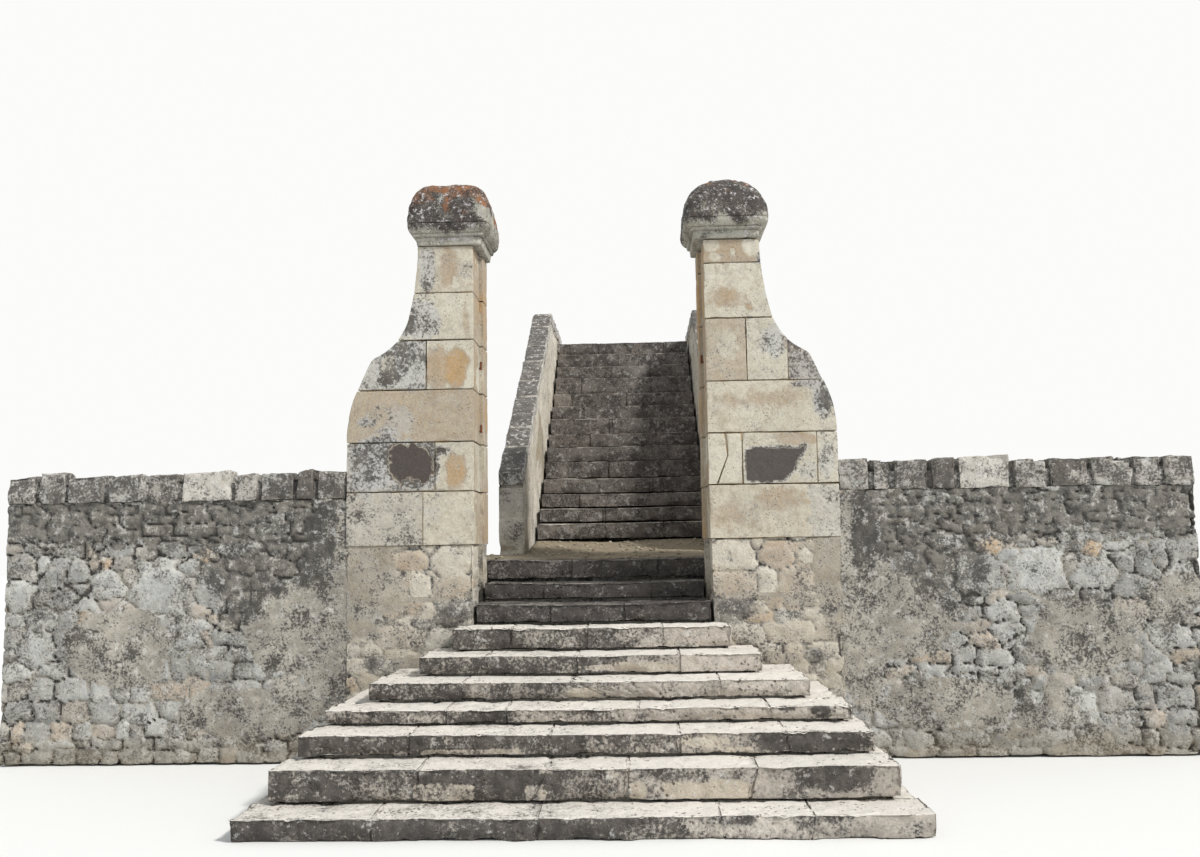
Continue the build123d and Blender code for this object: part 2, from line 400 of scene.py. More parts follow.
def mix(tree, factor, first, second, blend="MIX"):
    return add(tree, "Mix", {0: factor, 6: first, 7: second}, data_type="RGBA", blend_type=blend).outputs[2]


def texture(tree, place, scale, detail, roughness=0.5):
    values = {"Vector": place, "Scale": scale, "Detail": detail, "Roughness": roughness}
    return add(tree, "TexNoise", values).outputs["Fac"]


def upward(tree):
    return add(tree, "SeparateXYZ", {0: add(tree, "NewGeometry").outputs["Normal"]}).outputs[2]


def newGroup(name, inputs, outputs):
    group = bpy.data.node_groups.new(name, "ShaderNodeTree")
    for label, value in inputs.items():
        socket = group.interface.new_socket(label, in_out="INPUT", socket_type="NodeSocketFloat")
        socket.default_value = value
    for label in outputs:
        group.interface.new_socket(label, in_out="OUTPUT", socket_type="NodeSocketFloat")
    given, out = group.nodes.new("NodeGroupInput").outputs, group.nodes.new("NodeGroupOutput").inputs
    return group, given, out, add(group, "TexCoord").outputs["Object"]


def placeGroup(tree, group, values):
    node = tree.nodes.new("ShaderNodeGroup")
    node.node_tree = group
    return feed(tree, node, values).outputs


def newMaterial(name):
    material = bpy.data.materials.new(name)
    material.use_nodes = True
    return material, material.node_tree, material.node_tree.nodes["Principled BSDF"]


def makeStoneGrain():
    # Blotches, mottling, fine grain and open pits of a weathered limestone
    labels = ["Blotch", "Mottle", "Grain", "Pits", "Height"]
    group, given, out, place = newGroup("stoneGrain", {"Scale": 1.0, "Pit Size": 1.0}, labels)

    def field(scale, detail, roughness):
        return texture(group, place, times(group, given["Scale"], scale), detail, roughness)

    blotch, mottle, grain = field(2.3, 5.0, 0.55), field(13.0, 7.0, 0.68), field(75.0, 4.0, 0.7)
    pitScale = mathOf(group, "DIVIDE", times(group, given["Scale"], 42.0), given["Pit Size"])
    cells = add(group, "TexVoronoi", {"Vector": place, "Scale": pitScale, "Randomness": 1.0}).outputs["Distance"]
    pitted = mask(group, field(6.0, 4.0, 0.6), 0.46, 0.62)
    pits = times(group, mathOf(group, "SUBTRACT", 1.0, mask(group, cells, 0.12, 0.36)), pitted)
    height = plus(group, times(group, mottle, 0.9), grain, 0.3)
    height = minus(group, height, pits, 0.6)
    for label, value in zip(labels, (blotch, mottle, grain, pits, height)):
        group.links.new(value, out[label])
    return group


def makeLichen():
    # Black crust with a grey film around it, more of both where Amount is high, and pale patches by Spots
    inputs = {"Amount": 0.5, "Scale": 1.0, "Spots": 0.5}
    group, given, out, place = newGroup("lichen", inputs, ["Black", "Grey", "Pale"])
    large = texture(group, place, times(group, given["Scale"], 4.5), 9.0, 0.72)
    small = texture(group, place, times(group, given["Scale"], 50.0), 4.0, 0.7)
    both = plus(group, times(group, large, 0.55), small, 0.45)
    level = plus(group, both, given["Amount"], 0.3)
    group.links.new(mask(group, level, 0.585, 0.675), out["Black"])
    group.links.new(mask(group, level, 0.49, 0.64), out["Grey"])
    patch = texture(group, place, times(group, given["Scale"], 15.0), 7.0, 0.72)
    patch = plus(group, patch, given["Spots"], 0.16)
    group.links.new(mask(group, patch, 0.64, 0.73), out["Pale"])
    return group


def makeWornEdges():
    # Mask of the rubbed edges, broken up by the grain
    group, given, out, place = newGroup("wornEdges", {"Amount": 1.0}, ["Mask"])
    edge = add(group, "Attribute", attribute_name="wear").outputs["Fac"]
    broken = texture(group, place, 16.0, 6.0, 0.7)
    edge = times(group, mask(group, edge, 0.15, 0.9), mask(group, broken, 0.36, 0.58))
    group.links.new(mathOf(group, "MULTIPLY", edge, given["Amount"], clamp=True), out["Mask"])
    return group


def makeRunOff():
    # Dark runs left by rain down upright faces, and damp soil splashed up from the ground
    group, given, out, place = newGroup("runOff", {"Runs": 0.5, "Damp Height": 0.3}, ["Runs", "Damp"])
    stretched = add(group, "Mapping", {"Vector": place, "Scale": (7.0, 7.0, 0.9)}).outputs[0]
    streak = texture(group, stretched, 1.0, 6.0, 0.6)
    upright = mathOf(group, "SUBTRACT", 1.0, mathOf(group, "ABSOLUTE", upward(group)))
    runs = times(group, mask(group, streak, 0.5, 0.68), upright)
    group.links.new(times(group, runs, given["Runs"]), out["Runs"])
    level = add(group, "SeparateXYZ", {0: place}).outputs[2]
    level = plus(group, level, texture(group, place, 9.0, 5.0), 0.25)
    reach = mathOf(group, "DIVIDE", level, mathOf(group, "ADD", given["Damp Height"], 0.125))
    group.links.new(mathOf(group, "SUBTRACT", 1.0, mask(group, reach, 0.4, 1.0)), out["Damp"])
    return group


stoneGrain, lichen, wornEdges, runOff = makeStoneGrain(), makeLichen(), makeWornEdges(), makeRunOff()


stoneMasks = {
    # Between which levels each mask of a stone finish opens
    "upward": (0.35, 0.85), "lightness": (0.5, 1.2), "brown": (0.8, 1.3), "ochre": (1.2, 1.65), "mottle": (0.46, 0.7),
    "patina": (0.7, 1.5), "laid": (0.25, 0.75), "film": (0.15, 0.6), "filmEnd": (0.6, 0.75), "slate": (0.72, 0.88),
    "blackWorn": (0.4, 0.66), "fine": (0.3, 0.7),
}


def makeStone(name, look):
    # Every masonry finish: stone by tone and warmth, mortar, growth, rubbed edges, runs and damp
    material, tree, shader = newMaterial(name)
    tint = add(tree, "Attribute", attribute_name="tint")
    split = add(tree, "SeparateColor", {0: tint.outputs["Color"]}).outputs
    tone, warm, dark, mortar = split[0], split[1], split[2], tint.outputs["Alpha"]
    grain = placeGroup(tree, stoneGrain, {"Scale": look["grainScale"], "Pit Size": look["pitSize"]})
    blotch, mottle = grain["Blotch"], grain["Mottle"]

    def opened(value, label, top=1.0):
        return mask(tree, value, *stoneMasks[label], top)

    def over(below, cover, share, colour):
        return mix(tree, times(tree, cover, share), below, colour)

    top = opened(upward(tree), "upward")
    lightness = plus(tree, times(tree, tone, 0.5), blotch, 1.1)
    colour = mix(tree, opened(lightness, "lightness"), look["deep"], look["pale"])
    warmth = plus(tree, plus(tree, warm, mottle, 0.7), blotch, 0.6)
    colour = mix(tree, opened(warmth, "brown", look["brownTop"]), colour, look["brown"])
    colour = mix(tree, opened(warmth, "ochre", look["ochreTop"]), colour, look["ochre"])
    colour = mix(tree, opened(mottle, "mottle", look["mottleTop"]), colour, look["mottle"])
    colour = over(colour, top, look["treadTop"], look["tread"])
    patina = mathOf(tree, "ADD", times(tree, blotch, 1.2), mottle)
    laid = opened(mortar, "laid")
    colour = mix(tree, laid, colour, mix(tree, opened(patina, "patina"), look["mortarDeep"], look["mortar"]))
    film = mathOf(tree, "SUBTRACT", opened(dark, "film", look["filmTop"]), opened(dark, "filmEnd"), clamp=True)
    colour = mix(tree, film, colour, look["film"])
    slate = opened(dark, "slate", look["slateTop"])
    colour = mix(tree, slate, colour, look["slate"])

    growth = plus(tree, look["growth"], dark, look["growthByDark"])
    growth = minus(tree, growth, top, look["growthOffTop"])
    growth = minus(tree, growth, laid, look["growthOffMortar"])
    growth = minus(tree, growth, slate, 1.3)
    crust = placeGroup(tree, lichen, {"Amount": growth, "Scale": look["lichenScale"], "Spots": look["spots"]})
    colour = over(colour, crust["Grey"], look["greyTop"], look["greyLichen"])
    black = mix(tree, opened(mottle, "blackWorn"), look["blackLichen"], look["blackWorn"])
    colour = over(colour, crust["Black"], look["blackTop"], black)
    colour = over(colour, crust["Pale"], look["paleTop"], look["paleLichen"])
    fall = placeGroup(tree, runOff, {"Runs": look["runs"], "Damp Height": look["damp"]})
    colour = mix(tree, fall["Runs"], colour, look["blackLichen"])
    colour = over(colour, fall["Damp"], 0.45, look["dampColour"])
    rubbed = placeGroup(tree, wornEdges, {"Amount": look["rubbed"]})
    colour = mix(tree, rubbed["Mask"], colour, look["bare"])
    colour = over(colour, grain["Pits"], look["pitDark"], look["pitColour"])
    fine = mix(tree, opened(grain["Grain"], "fine"), paint(96, 92, 86), paint(255, 250, 240))
    tree.links.new(mix(tree, 0.16, colour, fine, "OVERLAY"), shader.inputs["Base Color"])

    tree.links.new(plus(tree, look["roughness"], grain["Grain"], 0.12), shader.inputs["Roughness"])
    shader.inputs["Specular IOR Level"].default_value = 0.25
    height = minus(tree, grain["Height"], laid, 0.15)
    height = plus(tree, height, crust["Black"], 0.2)
    height = plus(tree, height, crust["Pale"], 0.12)
    bump = add(tree, "Bump", {"Strength": look["bump"], "Distance": 0.012, "Height": height})
    tree.links.new(bump.outputs[0], shader.inputs["Normal"])
    return material


plainStone = {
    "pale": paint(220, 212, 196), "deep": paint(188, 176, 155), "brown": paint(172, 150, 126), "brownTop": 0.75,
    "ochre": paint(188, 152, 104), "ochreTop": 0.85, "mottle": paint(166, 154, 135), "mottleTop": 0.45,
    "film": paint(198, 200, 201), "filmTop": 0.75, "slate": paint(64, 58, 59), "slateTop": 0.92,
    "tread": paint(224, 218, 207), "treadTop": 0.0,
    "mortar": paint(186, 174, 152), "mortarDeep": paint(146, 133, 112),
    "growth": 0.05, "growthByDark": 0.5, "growthOffTop": 0.0, "growthOffMortar": 0.0, "lichenScale": 1.0, "spots": 0.2,
    "greyLichen": paint(170, 168, 163), "greyTop": 0.5, "blackLichen": paint(62, 58, 56),
    "blackWorn": paint(98, 93, 88), "blackTop": 0.88, "paleLichen": paint(212, 211, 207), "paleTop": 0.5,
    "runs": 0.06, "damp": 0.2, "dampColour": paint(120, 108, 86),
    "rubbed": 0.4, "bare": paint(230, 223, 208),
    "pitDark": 0.5, "pitColour": paint(104, 94, 80), "pitSize": 1.0, "grainScale": 1.0,
    "roughness": 0.82, "bump": 0.5,
}
stepStone = {
    **plainStone, "pale": paint(214, 207, 197), "deep": paint(176, 168, 158), "brown": paint(186, 171, 153),
    "brownTop": 0.5, "ochreTop": 0.3, "mottle": paint(142, 135, 127), "mottleTop": 0.6, "tread": paint(228, 223, 215),
    "treadTop": 0.75,
    "filmTop": 0.0, "slateTop": 0.0, "growth": 0.06, "growthByDark": 0.64, "growthOffTop": 0.5, "growthOffMortar": 0.34,
    "greyLichen": paint(140, 136, 131), "greyTop": 0.75,
    "blackLichen": paint(50, 47, 46), "blackWorn": paint(90, 85, 81),
    "rubbed": 0.85, "bare": paint(232, 228, 220), "mortar": paint(204, 195, 181), "mortarDeep": paint(178, 168, 153),
    "pitDark": 0.85, "pitColour": paint(84, 76, 69), "pitSize": 1.45, "bump": 1.0, "spots": 0.42, "paleTop": 0.6,
    "damp": 0.02, "dampColour": paint(110, 100, 84),
}
finishes = {
    "stepStone": stepStone,
    # The gate steps: a darker copy of the step stone, painted shade of the piers together with grime, with treads
    # nearly as dark as the risers
    "gateStepStoneInShade": {
        **stepStone, "pale": paint(150, 145, 139), "deep": paint(112, 107, 102), "treadTop": 0.35,
        "tread": paint(136, 131, 125), "growthOffTop": 0.1, "rubbed": 0.6, "bare": paint(184, 180, 172),
        "spots": 0.35, "mortar": paint(110, 104, 97), "mortarDeep": paint(78, 73, 68), "growthOffMortar": 0.0,
        "blackLichen": paint(50, 46, 45), "blackWorn": paint(74, 69, 66), "paleLichen": paint(168, 170, 168),
        "pitColour": paint(52, 48, 46),
    },
    # The upper flight and landing: a darker copy of the step stone, blackened by growth and with painted shade
    "upperStepStoneGrownAndShaded": {
        **plainStone, "pale": paint(142, 136, 130), "deep": paint(104, 98, 93), "brownTop": 0.45,
        "brown": paint(112, 92, 76), "ochreTop": 0.3, "mottle": paint(76, 71, 68), "mottleTop": 0.65,
        "tread": paint(170, 163, 154), "treadTop": 0.6, "growth": 0.24, "growthOffTop": 0.25,
        "greyLichen": paint(126, 122, 118), "blackLichen": paint(50, 46, 45), "blackWorn": paint(84, 78, 75),
        "blackTop": 0.85, "rubbed": 1.0, "bare": paint(204, 197, 187), "lichenScale": 1.2, "spots": 0.62,
        "paleLichen": paint(176, 176, 173), "paleTop": 0.6, "slateTop": 0.0, "filmTop": 0.0,
        "mortar": paint(96, 90, 84), "mortarDeep": paint(66, 61, 57),
    },
    "pierStone": {
        **plainStone, "pale": paint(202, 197, 182), "deep": paint(172, 164, 146), "brown": paint(158, 138, 115),
        "ochre": paint(178, 144, 96), "film": paint(184, 187, 190), "mottle": paint(152, 142, 125),
        "bare": paint(220, 214, 201), "mortar": paint(172, 156, 130), "mortarDeep": paint(134, 116, 91),
        "rubbed": 0.3, "bump": 0.5, "spots": 0.0, "growthByDark": 0.72,
    },
    "footStone": {
        **plainStone, "pale": paint(202, 196, 183), "deep": paint(166, 158, 142), "brown": paint(158, 138, 117),
        "mortar": paint(176, 168, 154), "mortarDeep": paint(134, 125, 111), "mottleTop": 0.65,
        "growth": 0.15, "growthByDark": 0.65, "bump": 0.9, "rubbed": 0.2, "film": paint(178, 179, 176),
    },
    "capStone": {
        **plainStone, "pale": paint(188, 186, 175), "deep": paint(148, 146, 133), "brown": paint(84, 52, 36),
        "brownTop": 0.95, "ochre": paint(148, 92, 42), "ochreTop": 0.8, "growth": 0.15, "growthByDark": 0.64,
        "spots": 0.6, "greyTop": 0.6, "greyLichen": paint(118, 114, 111), "paleTop": 0.9, "slateTop": 0.0,
        "filmTop": 0.0, "paleLichen": paint(206, 203, 204), "blackLichen": paint(42, 37, 37),
        "blackWorn": paint(76, 68, 65), "lichenScale": 1.8, "runs": 0.1, "bump": 1.0, "damp": 0.0,
    },
    "rubbleStone": {
        **plainStone, "pale": paint(190, 192, 190), "deep": paint(126, 128, 128), "brownTop": 0.6, "ochreTop": 0.6,
        "mottle": paint(112, 109, 104), "mottleTop": 0.65, "growth": 0.23, "growthByDark": 0.72, "slateTop": 0.0,
        "mortar": paint(188, 182, 169), "mortarDeep": paint(120, 114, 104), "bump": 1.0, "damp": 0.3, "spots": 0.62,
        "growthOffMortar": -0.06, "rubbed": 0.15, "filmTop": 0.3, "blackLichen": paint(48, 46, 44),
        "blackWorn": paint(82, 78, 74),
    },
    "parapetStone": {
        **plainStone, "pale": paint(222, 216, 204), "deep": paint(186, 179, 166), "growth": 0.12, "ochreTop": 0.4,
        "tread": paint(206, 199, 190), "treadTop": 0.3, "growthOffTop": -0.38, "lichenScale": 1.3, "bump": 0.8,
        "spots": 0.6, "paleTop": 0.7, "slateTop": 0.0,
    },
    "copingStone": {
        **plainStone, "pale": paint(208, 204, 196), "deep": paint(150, 146, 139), "growth": 0.16, "growthByDark": 0.6,
        "spots": 0.6, "mottleTop": 0.5, "brownTop": 0.4, "bump": 1.0, "slateTop": 0.0, "filmTop": 0.3, "rubbed": 0.2,
    },
}
materials = {name: makeStone(name, look) for name, look in finishes.items()}
print("stone finishes made:", len(materials))


# Lower flight: a bar of blocks for each step, with arms running back to the walls

lowerFlight = {
    # Joints along X; one that runs askew has its place at the tread and at the foot
    "joints": {
        1: [-1.18, -0.24, (0.79, 0.815), (1.315, 1.29)],
        2: [-0.977, (-0.2, -0.3), (0.275, 0.262), (1.04, 0.985)],
        3: [-1.1, (-0.21, -0.228), 0.593, 1.25],
        4: [-0.92, (-0.53, -0.515), 0.34, 1.19],
        5: [-0.86, (-0.14, 0.17), (0.895, 0.91)],
        6: [-0.74, (-0.1, -0.09), 0.64],
        7: [-0.6, -0.036, 0.526],
        8: [-0.33, 0.24],
        9: [-0.41, 0.455],
        10: [-0.2, 0.52],
    },
    # How dark the riser is at its left and at its right: growth and grime, together with painted shade on the left ends
    # and on the three gate steps, which lay in shadow
    "dark": [
        (0.95, 0.3), (0.72, 0.3), (0.75, 0.3), (0.6, 0.12), (0.62, 0.08), (0.72, 0.05), (0.75, 0.1), (0.9, 0.95),
        (1.0, 1.0), (0.85, 0.95),
    ],
    "gap": 0.003,
    "inset": 0.007,  # of the mortar in the joints
    "tread": 0.32,
    "lap": 0.07,  # under the next step
    "clear": 0.003,  # of the piers
    "short": {8: 0.045, 9: 0.02},  # how much sooner these steps' blocks end than the steps
    "behindPiers": 0.6,  # where the ninth step gets wider
    "arm": {"block": 0.62, "lap": 0.06, "round": 0.018, "inset": 0.018},
    "trodden": 0.006,  # how far the middle of a tread is worn down
    "nosing": {"least": 0.006, "most": 0.050, "wave": 0.016, "dip": 0.010, "undercut": 0.024},
    "look": {"grid": 0.0205, "round": 0.004, "chips": 0.016, "uneven": 0.021, "lump": 0.13, "pits": 0.012},
    # The three steps in the gate are crisper and hollowed by feet
    "gateSteps": {
        "trodden": 0.022,
        "nosing": {"least": 0.005, "most": 0.022, "wave": 0.008, "dip": 0.004, "undercut": 0.01},
    },
    # Stains and mortar repairs on the risers: x, z, half sizes, channel (2 darkness, 3 mortar), amount, softness
    "stains": {
        1: [
            (1.75, 0.12, 0.26, 0.04, 2, 0.0), (1.05, 0.06, 0.18, 0.05, 2, 0.1), (0.85, 0.11, 0.12, 0.03, 2, 0.9),
            (1.45, 0.12, 0.1, 0.03, 2, 0.75), (-0.9, 0.07, 1.1, 0.05, 2, 1.0),
        ],
        2: [
            (0.75, 0.205, 0.26, 0.05, 3, 1.0, 0.2), (-0.82, 0.2, 0.18, 0.055, 3, 1.0, 0.2),
            (-0.27, 0.19, 0.06, 0.05, 3, 1.0, 0.2), (-0.215, 0.325, 0.035, 0.03, 2, 0.0, 0.2),
            (0.33, 0.2, 0.045, 0.05, 3, 1.0, 0.2), (1.06, 0.23, 0.05, 0.06, 2, 0.0), (1.5, 0.27, 0.24, 0.07, 2, 0.95),
            (-0.55, 0.28, 0.4, 0.035, 2, 0.95), (0.0, 0.25, 0.2, 0.07, 2, 0.85), (0.55, 0.29, 0.4, 0.03, 2, 0.6),
        ],
        3: [
            (1.4, 0.42, 0.36, 0.07, 2, 1.0), (0.75, 0.43, 0.14, 0.03, 3, 0.9, 0.3),
            (0.95, 0.38, 0.1, 0.02, 3, 0.9, 0.3), (-0.7, 0.375, 0.3, 0.018, 3, 1.0, 0.2),
        ],
        4: [
            (0.6, 0.55, 0.27, 0.05, 2, 0.1), (1.3, 0.58, 0.06, 0.03, 2, 0.9), (1.52, 0.56, 0.05, 0.04, 2, 0.95),
        ],
        5: [
            (-0.02, 0.64, 0.1, 0.036, 3, 1.0, 0.25), (1.2, 0.665, 0.25, 0.06, 2, 0.0),
            (0.45, 0.66, 0.3, 0.05, 2, 0.25),
        ],
        6: [
            (0.3, 0.775, 0.36, 0.034, 3, 1.0, 0.3), (0.95, 0.81, 0.22, 0.06, 2, 0.05),
        ],
    },
}


walked = 0.75  # how far to either side of the middle most feet fall
nosingSizes = {"radius": 0.26, "wave": 0.42, "dip": 0.5, "undercut": 0.3}  # of each kind of wear, along the step


def trodden(piece, top, front, deep):
    # Feet wear a broad hollow, deepest at the front edge
    points = piece["points"]
    across = np.exp(-((points[:, 0] / walked) ** 2))
    upper = smooth(points[:, 2], top - 0.06, top - 0.005)
    ahead = 1 - 0.3 * smooth(points[:, 1], front, front + 0.3)
    points[:, 2] -= deep * across * upper * ahead
    return piece


def wornNosing(piece, front, foot, top, values, seed):
    # Feet and frost round the front edge unevenly, bend its line and hollow the riser's foot here and there
    points, sizes = piece["points"], nosingSizes
    line = points * (1, 0, 0)
    radius = values["least"] + (values["most"] - values["least"]) * noise(line, sizes["radius"], seed, 3) ** 1.4
    radius = np.minimum(radius, 0.4 * (top - foot))
    core = np.stack([front + radius, top - radius], 1)
    offset = points[:, 1:] - core
    far = np.linalg.norm(offset, axis=1)
    outside = (offset[:, 0] < 0) & (offset[:, 1] > 0) & (far > radius)
    onArc = core + offset * (radius / np.maximum(far, 1e-6))[:, None]
    points[:, 1:] = np.where(outside[:, None], onArc, points[:, 1:])

    turn = np.arctan2(np.maximum(offset[:, 1], 0), np.maximum(-offset[:, 0], 1e-6)) / (math.pi / 2)
    inArc = (offset[:, 0] < 0.3 * radius) & (offset[:, 1] > -0.2 * radius)
    piece["wear"] = np.maximum(piece["wear"], inArc * smooth(turn, 0.3, 0.75))

    near = 1 - smooth(points[:, 1], front + 0.03, front + 0.22)
    points[:, 1] += values["wave"] * (2 * noise(line, sizes["wave"], seed + 1, 3) - 1) * near
    dip = values["dip"] * noise(line, sizes["dip"], seed + 3, 3)
    points[:, 2] -= dip * near * smooth(points[:, 2], foot + 0.05, top)
    low = 1 - smooth(points[:, 2], foot + 0.008, foot + 0.05)
    points[:, 1] += values["undercut"] * smooth(noise(line, sizes["undercut"], seed + 2, 2), 0.5, 0.62) * low * near
    return piece


def closed(first, last):
    # Which ends of a block in a row are out of sight
    return ("x-",) * (not first) + ("x+",) * (not last)


def barBlocks(lo, hi, joints, values, seed, darknessWithShade, front, stains=(), walled=False):
    # The blocks of one bar and the mortar between them; all share one seed, so their faces run on
    parts, rng = [], np.random.default_rng(seed)
    pairs = [joint if isinstance(joint, tuple) else (joint, joint) for joint in joints]
    pairs = [(lo[0], lo[0])] + [pair for pair in pairs if lo[0] < pair[0] < hi[0]] + [(hi[0], hi[0])]
    half = values["gap"] / 2
    for k in range(len(pairs) - 1):
        (startTop, startFoot), (endTop, endFoot) = pairs[k], pairs[k + 1]
        first, last = k == 0, k == len(pairs) - 2
        before, after = half * (not first), half * (not last)
        setBack, drop = rng.uniform(0, 0.004), rng.uniform(0, 0.003)
        tint = (rng.uniform(0.25, 0.85), rng.uniform(0, 0.4), 0.5, 0)
        low, high = (startTop + before, lo[1] + setBack, lo[2] + 0.001), (endTop - after, hi[1], hi[2] - drop)
        plain = ("z-", "y+") + closed(first and not walled, last and not walled)
        block = wornBlock(low, high, values["look"], seed, tint, plain)
        block["wear"] *= 0.3
        startLine = [(startTop + before, hi[2]), (startFoot + before, lo[2])]
        endLine = [(endTop - after, hi[2]), (endFoot - after, lo[2])]
        parts.append(slanted(block, low[0], high[0], startLine, endLine))
    plain = ("z-", "y+") + closed(False, False)
    parts.append(jointFill(lo, hi, values["look"], seed, values["inset"], (0.5, 0.2, 0.5, 0.0), plain))
    left, right = darknessWithShade
    for piece in parts:
        wornNosing(piece, lo[1], lo[2], hi[2], values["nosing"], seed + 11)
        trodden(piece, hi[2], front, values["trodden"])
        # Darkness from the left end to the right: growth, and painted shade where the step lay in shadow
        piece["tint"][:, 2] = left + (right - left) * smooth(piece["points"][:, 0], -0.2, 0.95)
        stain(piece, stains, seed + 20, frontTo=front + 0.06)
    return parts


def armBlocks(i, inner, outer, back, foot, top, values):
    # The blocks of a step's two arms, from its bar back to the wall
    arm, plain, parts = values["arm"], ("z-", "x-", "y-", "y+"), []
    half = values["gap"] / 2
    count = max(1, int(round(-back / arm["block"])))
    ends = np.linspace(back, 0, count + 1)
    # Each arm takes the darkness of its end of the riser, painted shade included
    for side, sign, dark in (("left", -1, values["dark"][i - 1][0]), ("right", 1, values["dark"][i - 1][1])):
        seed, look = i * 90 + sign, {**values["look"], "round": arm["round"]}
        blocks = []
        for k in range(count):
            rng = np.random.default_rng(i * 50 + k + sign)
            low = (inner, ends[k] + half, foot + 0.001)
            high = (outer - rng.uniform(0, 0.008), ends[k + 1] - half, top - rng.uniform(0, 0.006))
            darker = min(1, dark + rng.uniform(0, 0.3))
            tint = (rng.uniform(0.1, 0.9), rng.uniform(0, 0.5), darker, 0)
            blocks.append(wornBlock(low, high, look, seed, tint, plain))
        low, high = (inner, back - 0.05, foot), (outer, 0.02, top)
        blocks.append(jointFill(low, high, values["look"], seed, arm["inset"], plain=plain))
        parts += [onSide(block, side) for block in blocks]
    return parts


def buildLowerFlight(values):
    for i in range(1, 11):
        node = f"lower_step_{i}"
        lo, hi = corners(node)
        front, half, back = lo[1], hi[0], lo[1] + values["tread"] + values["lap"]
        if i == 7:  # the sill stops at the piers' front
            back = 0.0
        elif i == 8:
            half, back = half - values["clear"], hi[1] - values["short"][i]
        elif i == 9:
            half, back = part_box("right_pier_base")[0][0] - values["clear"], hi[1] - values["short"][i]
        elif i == 10:
            back = hi[1]
        low, high = (-half, front, lo[2]), (half, back, hi[2])
        inGate = i >= 8
        own = {**values, **values["gateSteps"]} if inGate else values
        stains = values["stains"].get(i, ())
        parts = barBlocks(low, high, values["joints"][i], own, i * 37, values["dark"][i - 1], front, stains, inGate)
        if i == 9:  # behind the piers the step is a little wider
            low, high = (lo[0], values["behindPiers"], lo[2]), (hi[0], hi[1], hi[2] - 0.02)
            parts.append(filling(low, high, 0.004, (0.5, 0.2, 0.9, 0.0)))
        if i <= 6:
            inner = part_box(f"lower_step_{i + 1}")[1][0] - values["arm"]["lap"]
            parts += armBlocks(i, inner, half, back, lo[2], hi[2], values)
        finish = materials["gateStepStoneInShade" if inGate else "stepStone"]
        makePiece(f"{node}_stones", parts, finish, "step_stone", node)


buildLowerFlight(lowerFlight)
print("lower flight laid")


# Gate piers

pierForm = {
    # The swept shoulder: start of the hollow, then radius and turn in degrees of each arc, and the raking length
    "start": (1.364, 4.04),
    "runs": [(2.33, 14.7), (0.455, 51.2), (0.11, -42), (0.233, None), (0.94, -23.9)],
    "rebate": 0.36,
    "rebateDeep": 0.03,
    "gap": 0.004,
    "inset": 0.003,  # of the mortar in the joints
    "openInsets": {"course_2": 0.007, "course_4": 0.008},  # deeper in these courses
    "reveal": {"right": (0.3, 0.95), "left": (0.85, 0.75)},  # tone and warmth of the side towards the gate; the tone is painted light, sunlit and pale on the left pier, painted shade on the right
    "revealZone": (0.034, 0.02),  # how thick that side is, and how far behind the front it starts
    "look": {"grid": 0.018, "round": 0.005, "chips": 0.014, "uneven": 0.007, "lump": 0.3, "pits": 0.003},
    "backGrid": 0.03,  # of the coarser mesh behind the rebate
}


def sweepOutline(values):
    # The shoulder's outline, (x, z) from its foot up
    (x, z), heading, line = values["start"], -math.pi / 2, [values["start"]]
    steps = 12  # in each arc
    for radius, turn in values["runs"]:
        if turn is None:
            x, z = x + radius * math.cos(heading), z + radius * math.sin(heading)
            line.append((x, z))
            continue
        bend = math.radians(turn) / steps
        chord = 2 * radius * math.sin(abs(bend) / 2)
        for _ in range(steps):
            heading += bend / 2
            x, z = x + chord * math.cos(heading), z + chord * math.sin(heading)
            heading += bend / 2
            line.append((x, z))
    return np.array(line[::-1])


sweep = sweepOutline(pierForm)


def pierOut(z):
    # How far the shoulder reaches from the axis at a height
    return np.interp(z, sweep[:, 1], sweep[:, 0])


def pierLevel(x):
    # How high the shoulder stands at a distance from the axis
    return np.interp(-x, -sweep[:, 0], sweep[:, 1])


# Stones of each course, from the gate outwards: where they end along X, then tone, warmth, darkness, any set back.
# An end that isn't upright has the line of its joint, (x, z) from the top down.
rightCourses = {
    "course_1": [([(1.66, 2.1), (1.7, 2.05), (1.708, 1.6)], 0.85, 0.3, 0.0), (None, 0.75, 0.1, 0.3)],
    "course_2": [
        ([(1.052, 2.5), (1.059, 2.44), (1.07, 2.321), (1.03, 2.22), (0.979, 2.09)], 0.95, 0.08, 0.0),
        (1.182, 0.95, 0.1, 0.0), (1.76, 0.8, 0.2, 0.1), (None, 0.9, 0.1, 0.15, 0.004),
    ],
    "course_3": [(None, 0.9, 0.25, 0.0)],
    "course_4": [(1.237, 0.55, 0.42, 0.05), (1.56, 0.85, 0.1, 0.1), (None, 0.6, 0.5, 0.42, 0.04)],
    "course_5": [(None, 0.95, 0.2, 0.0)],
    "course_6": [(None, 0.55, 0.6, 0.05)],
}
leftCourses = {
    "course_1": [(1.32, 0.85, 0.25, 0.0), (None, 0.6, 0.3, 0.3)],
    "course_2": [(1.225, 0.85, 0.15, 0.0), (None, 0.5, 0.4, 0.4)],
    "course_3": [(None, 0.4, 0.48, 0.0)],
    "course_4": [(1.293, 0.9, 0.1, 0.0), (None, 0.6, 0.1, 0.4, 0.006)],
    "course_5": [(None, 0.9, 0.15, 0.0)],
    "course_6": [(None, 0.8, 0.3, 0.05)],
}
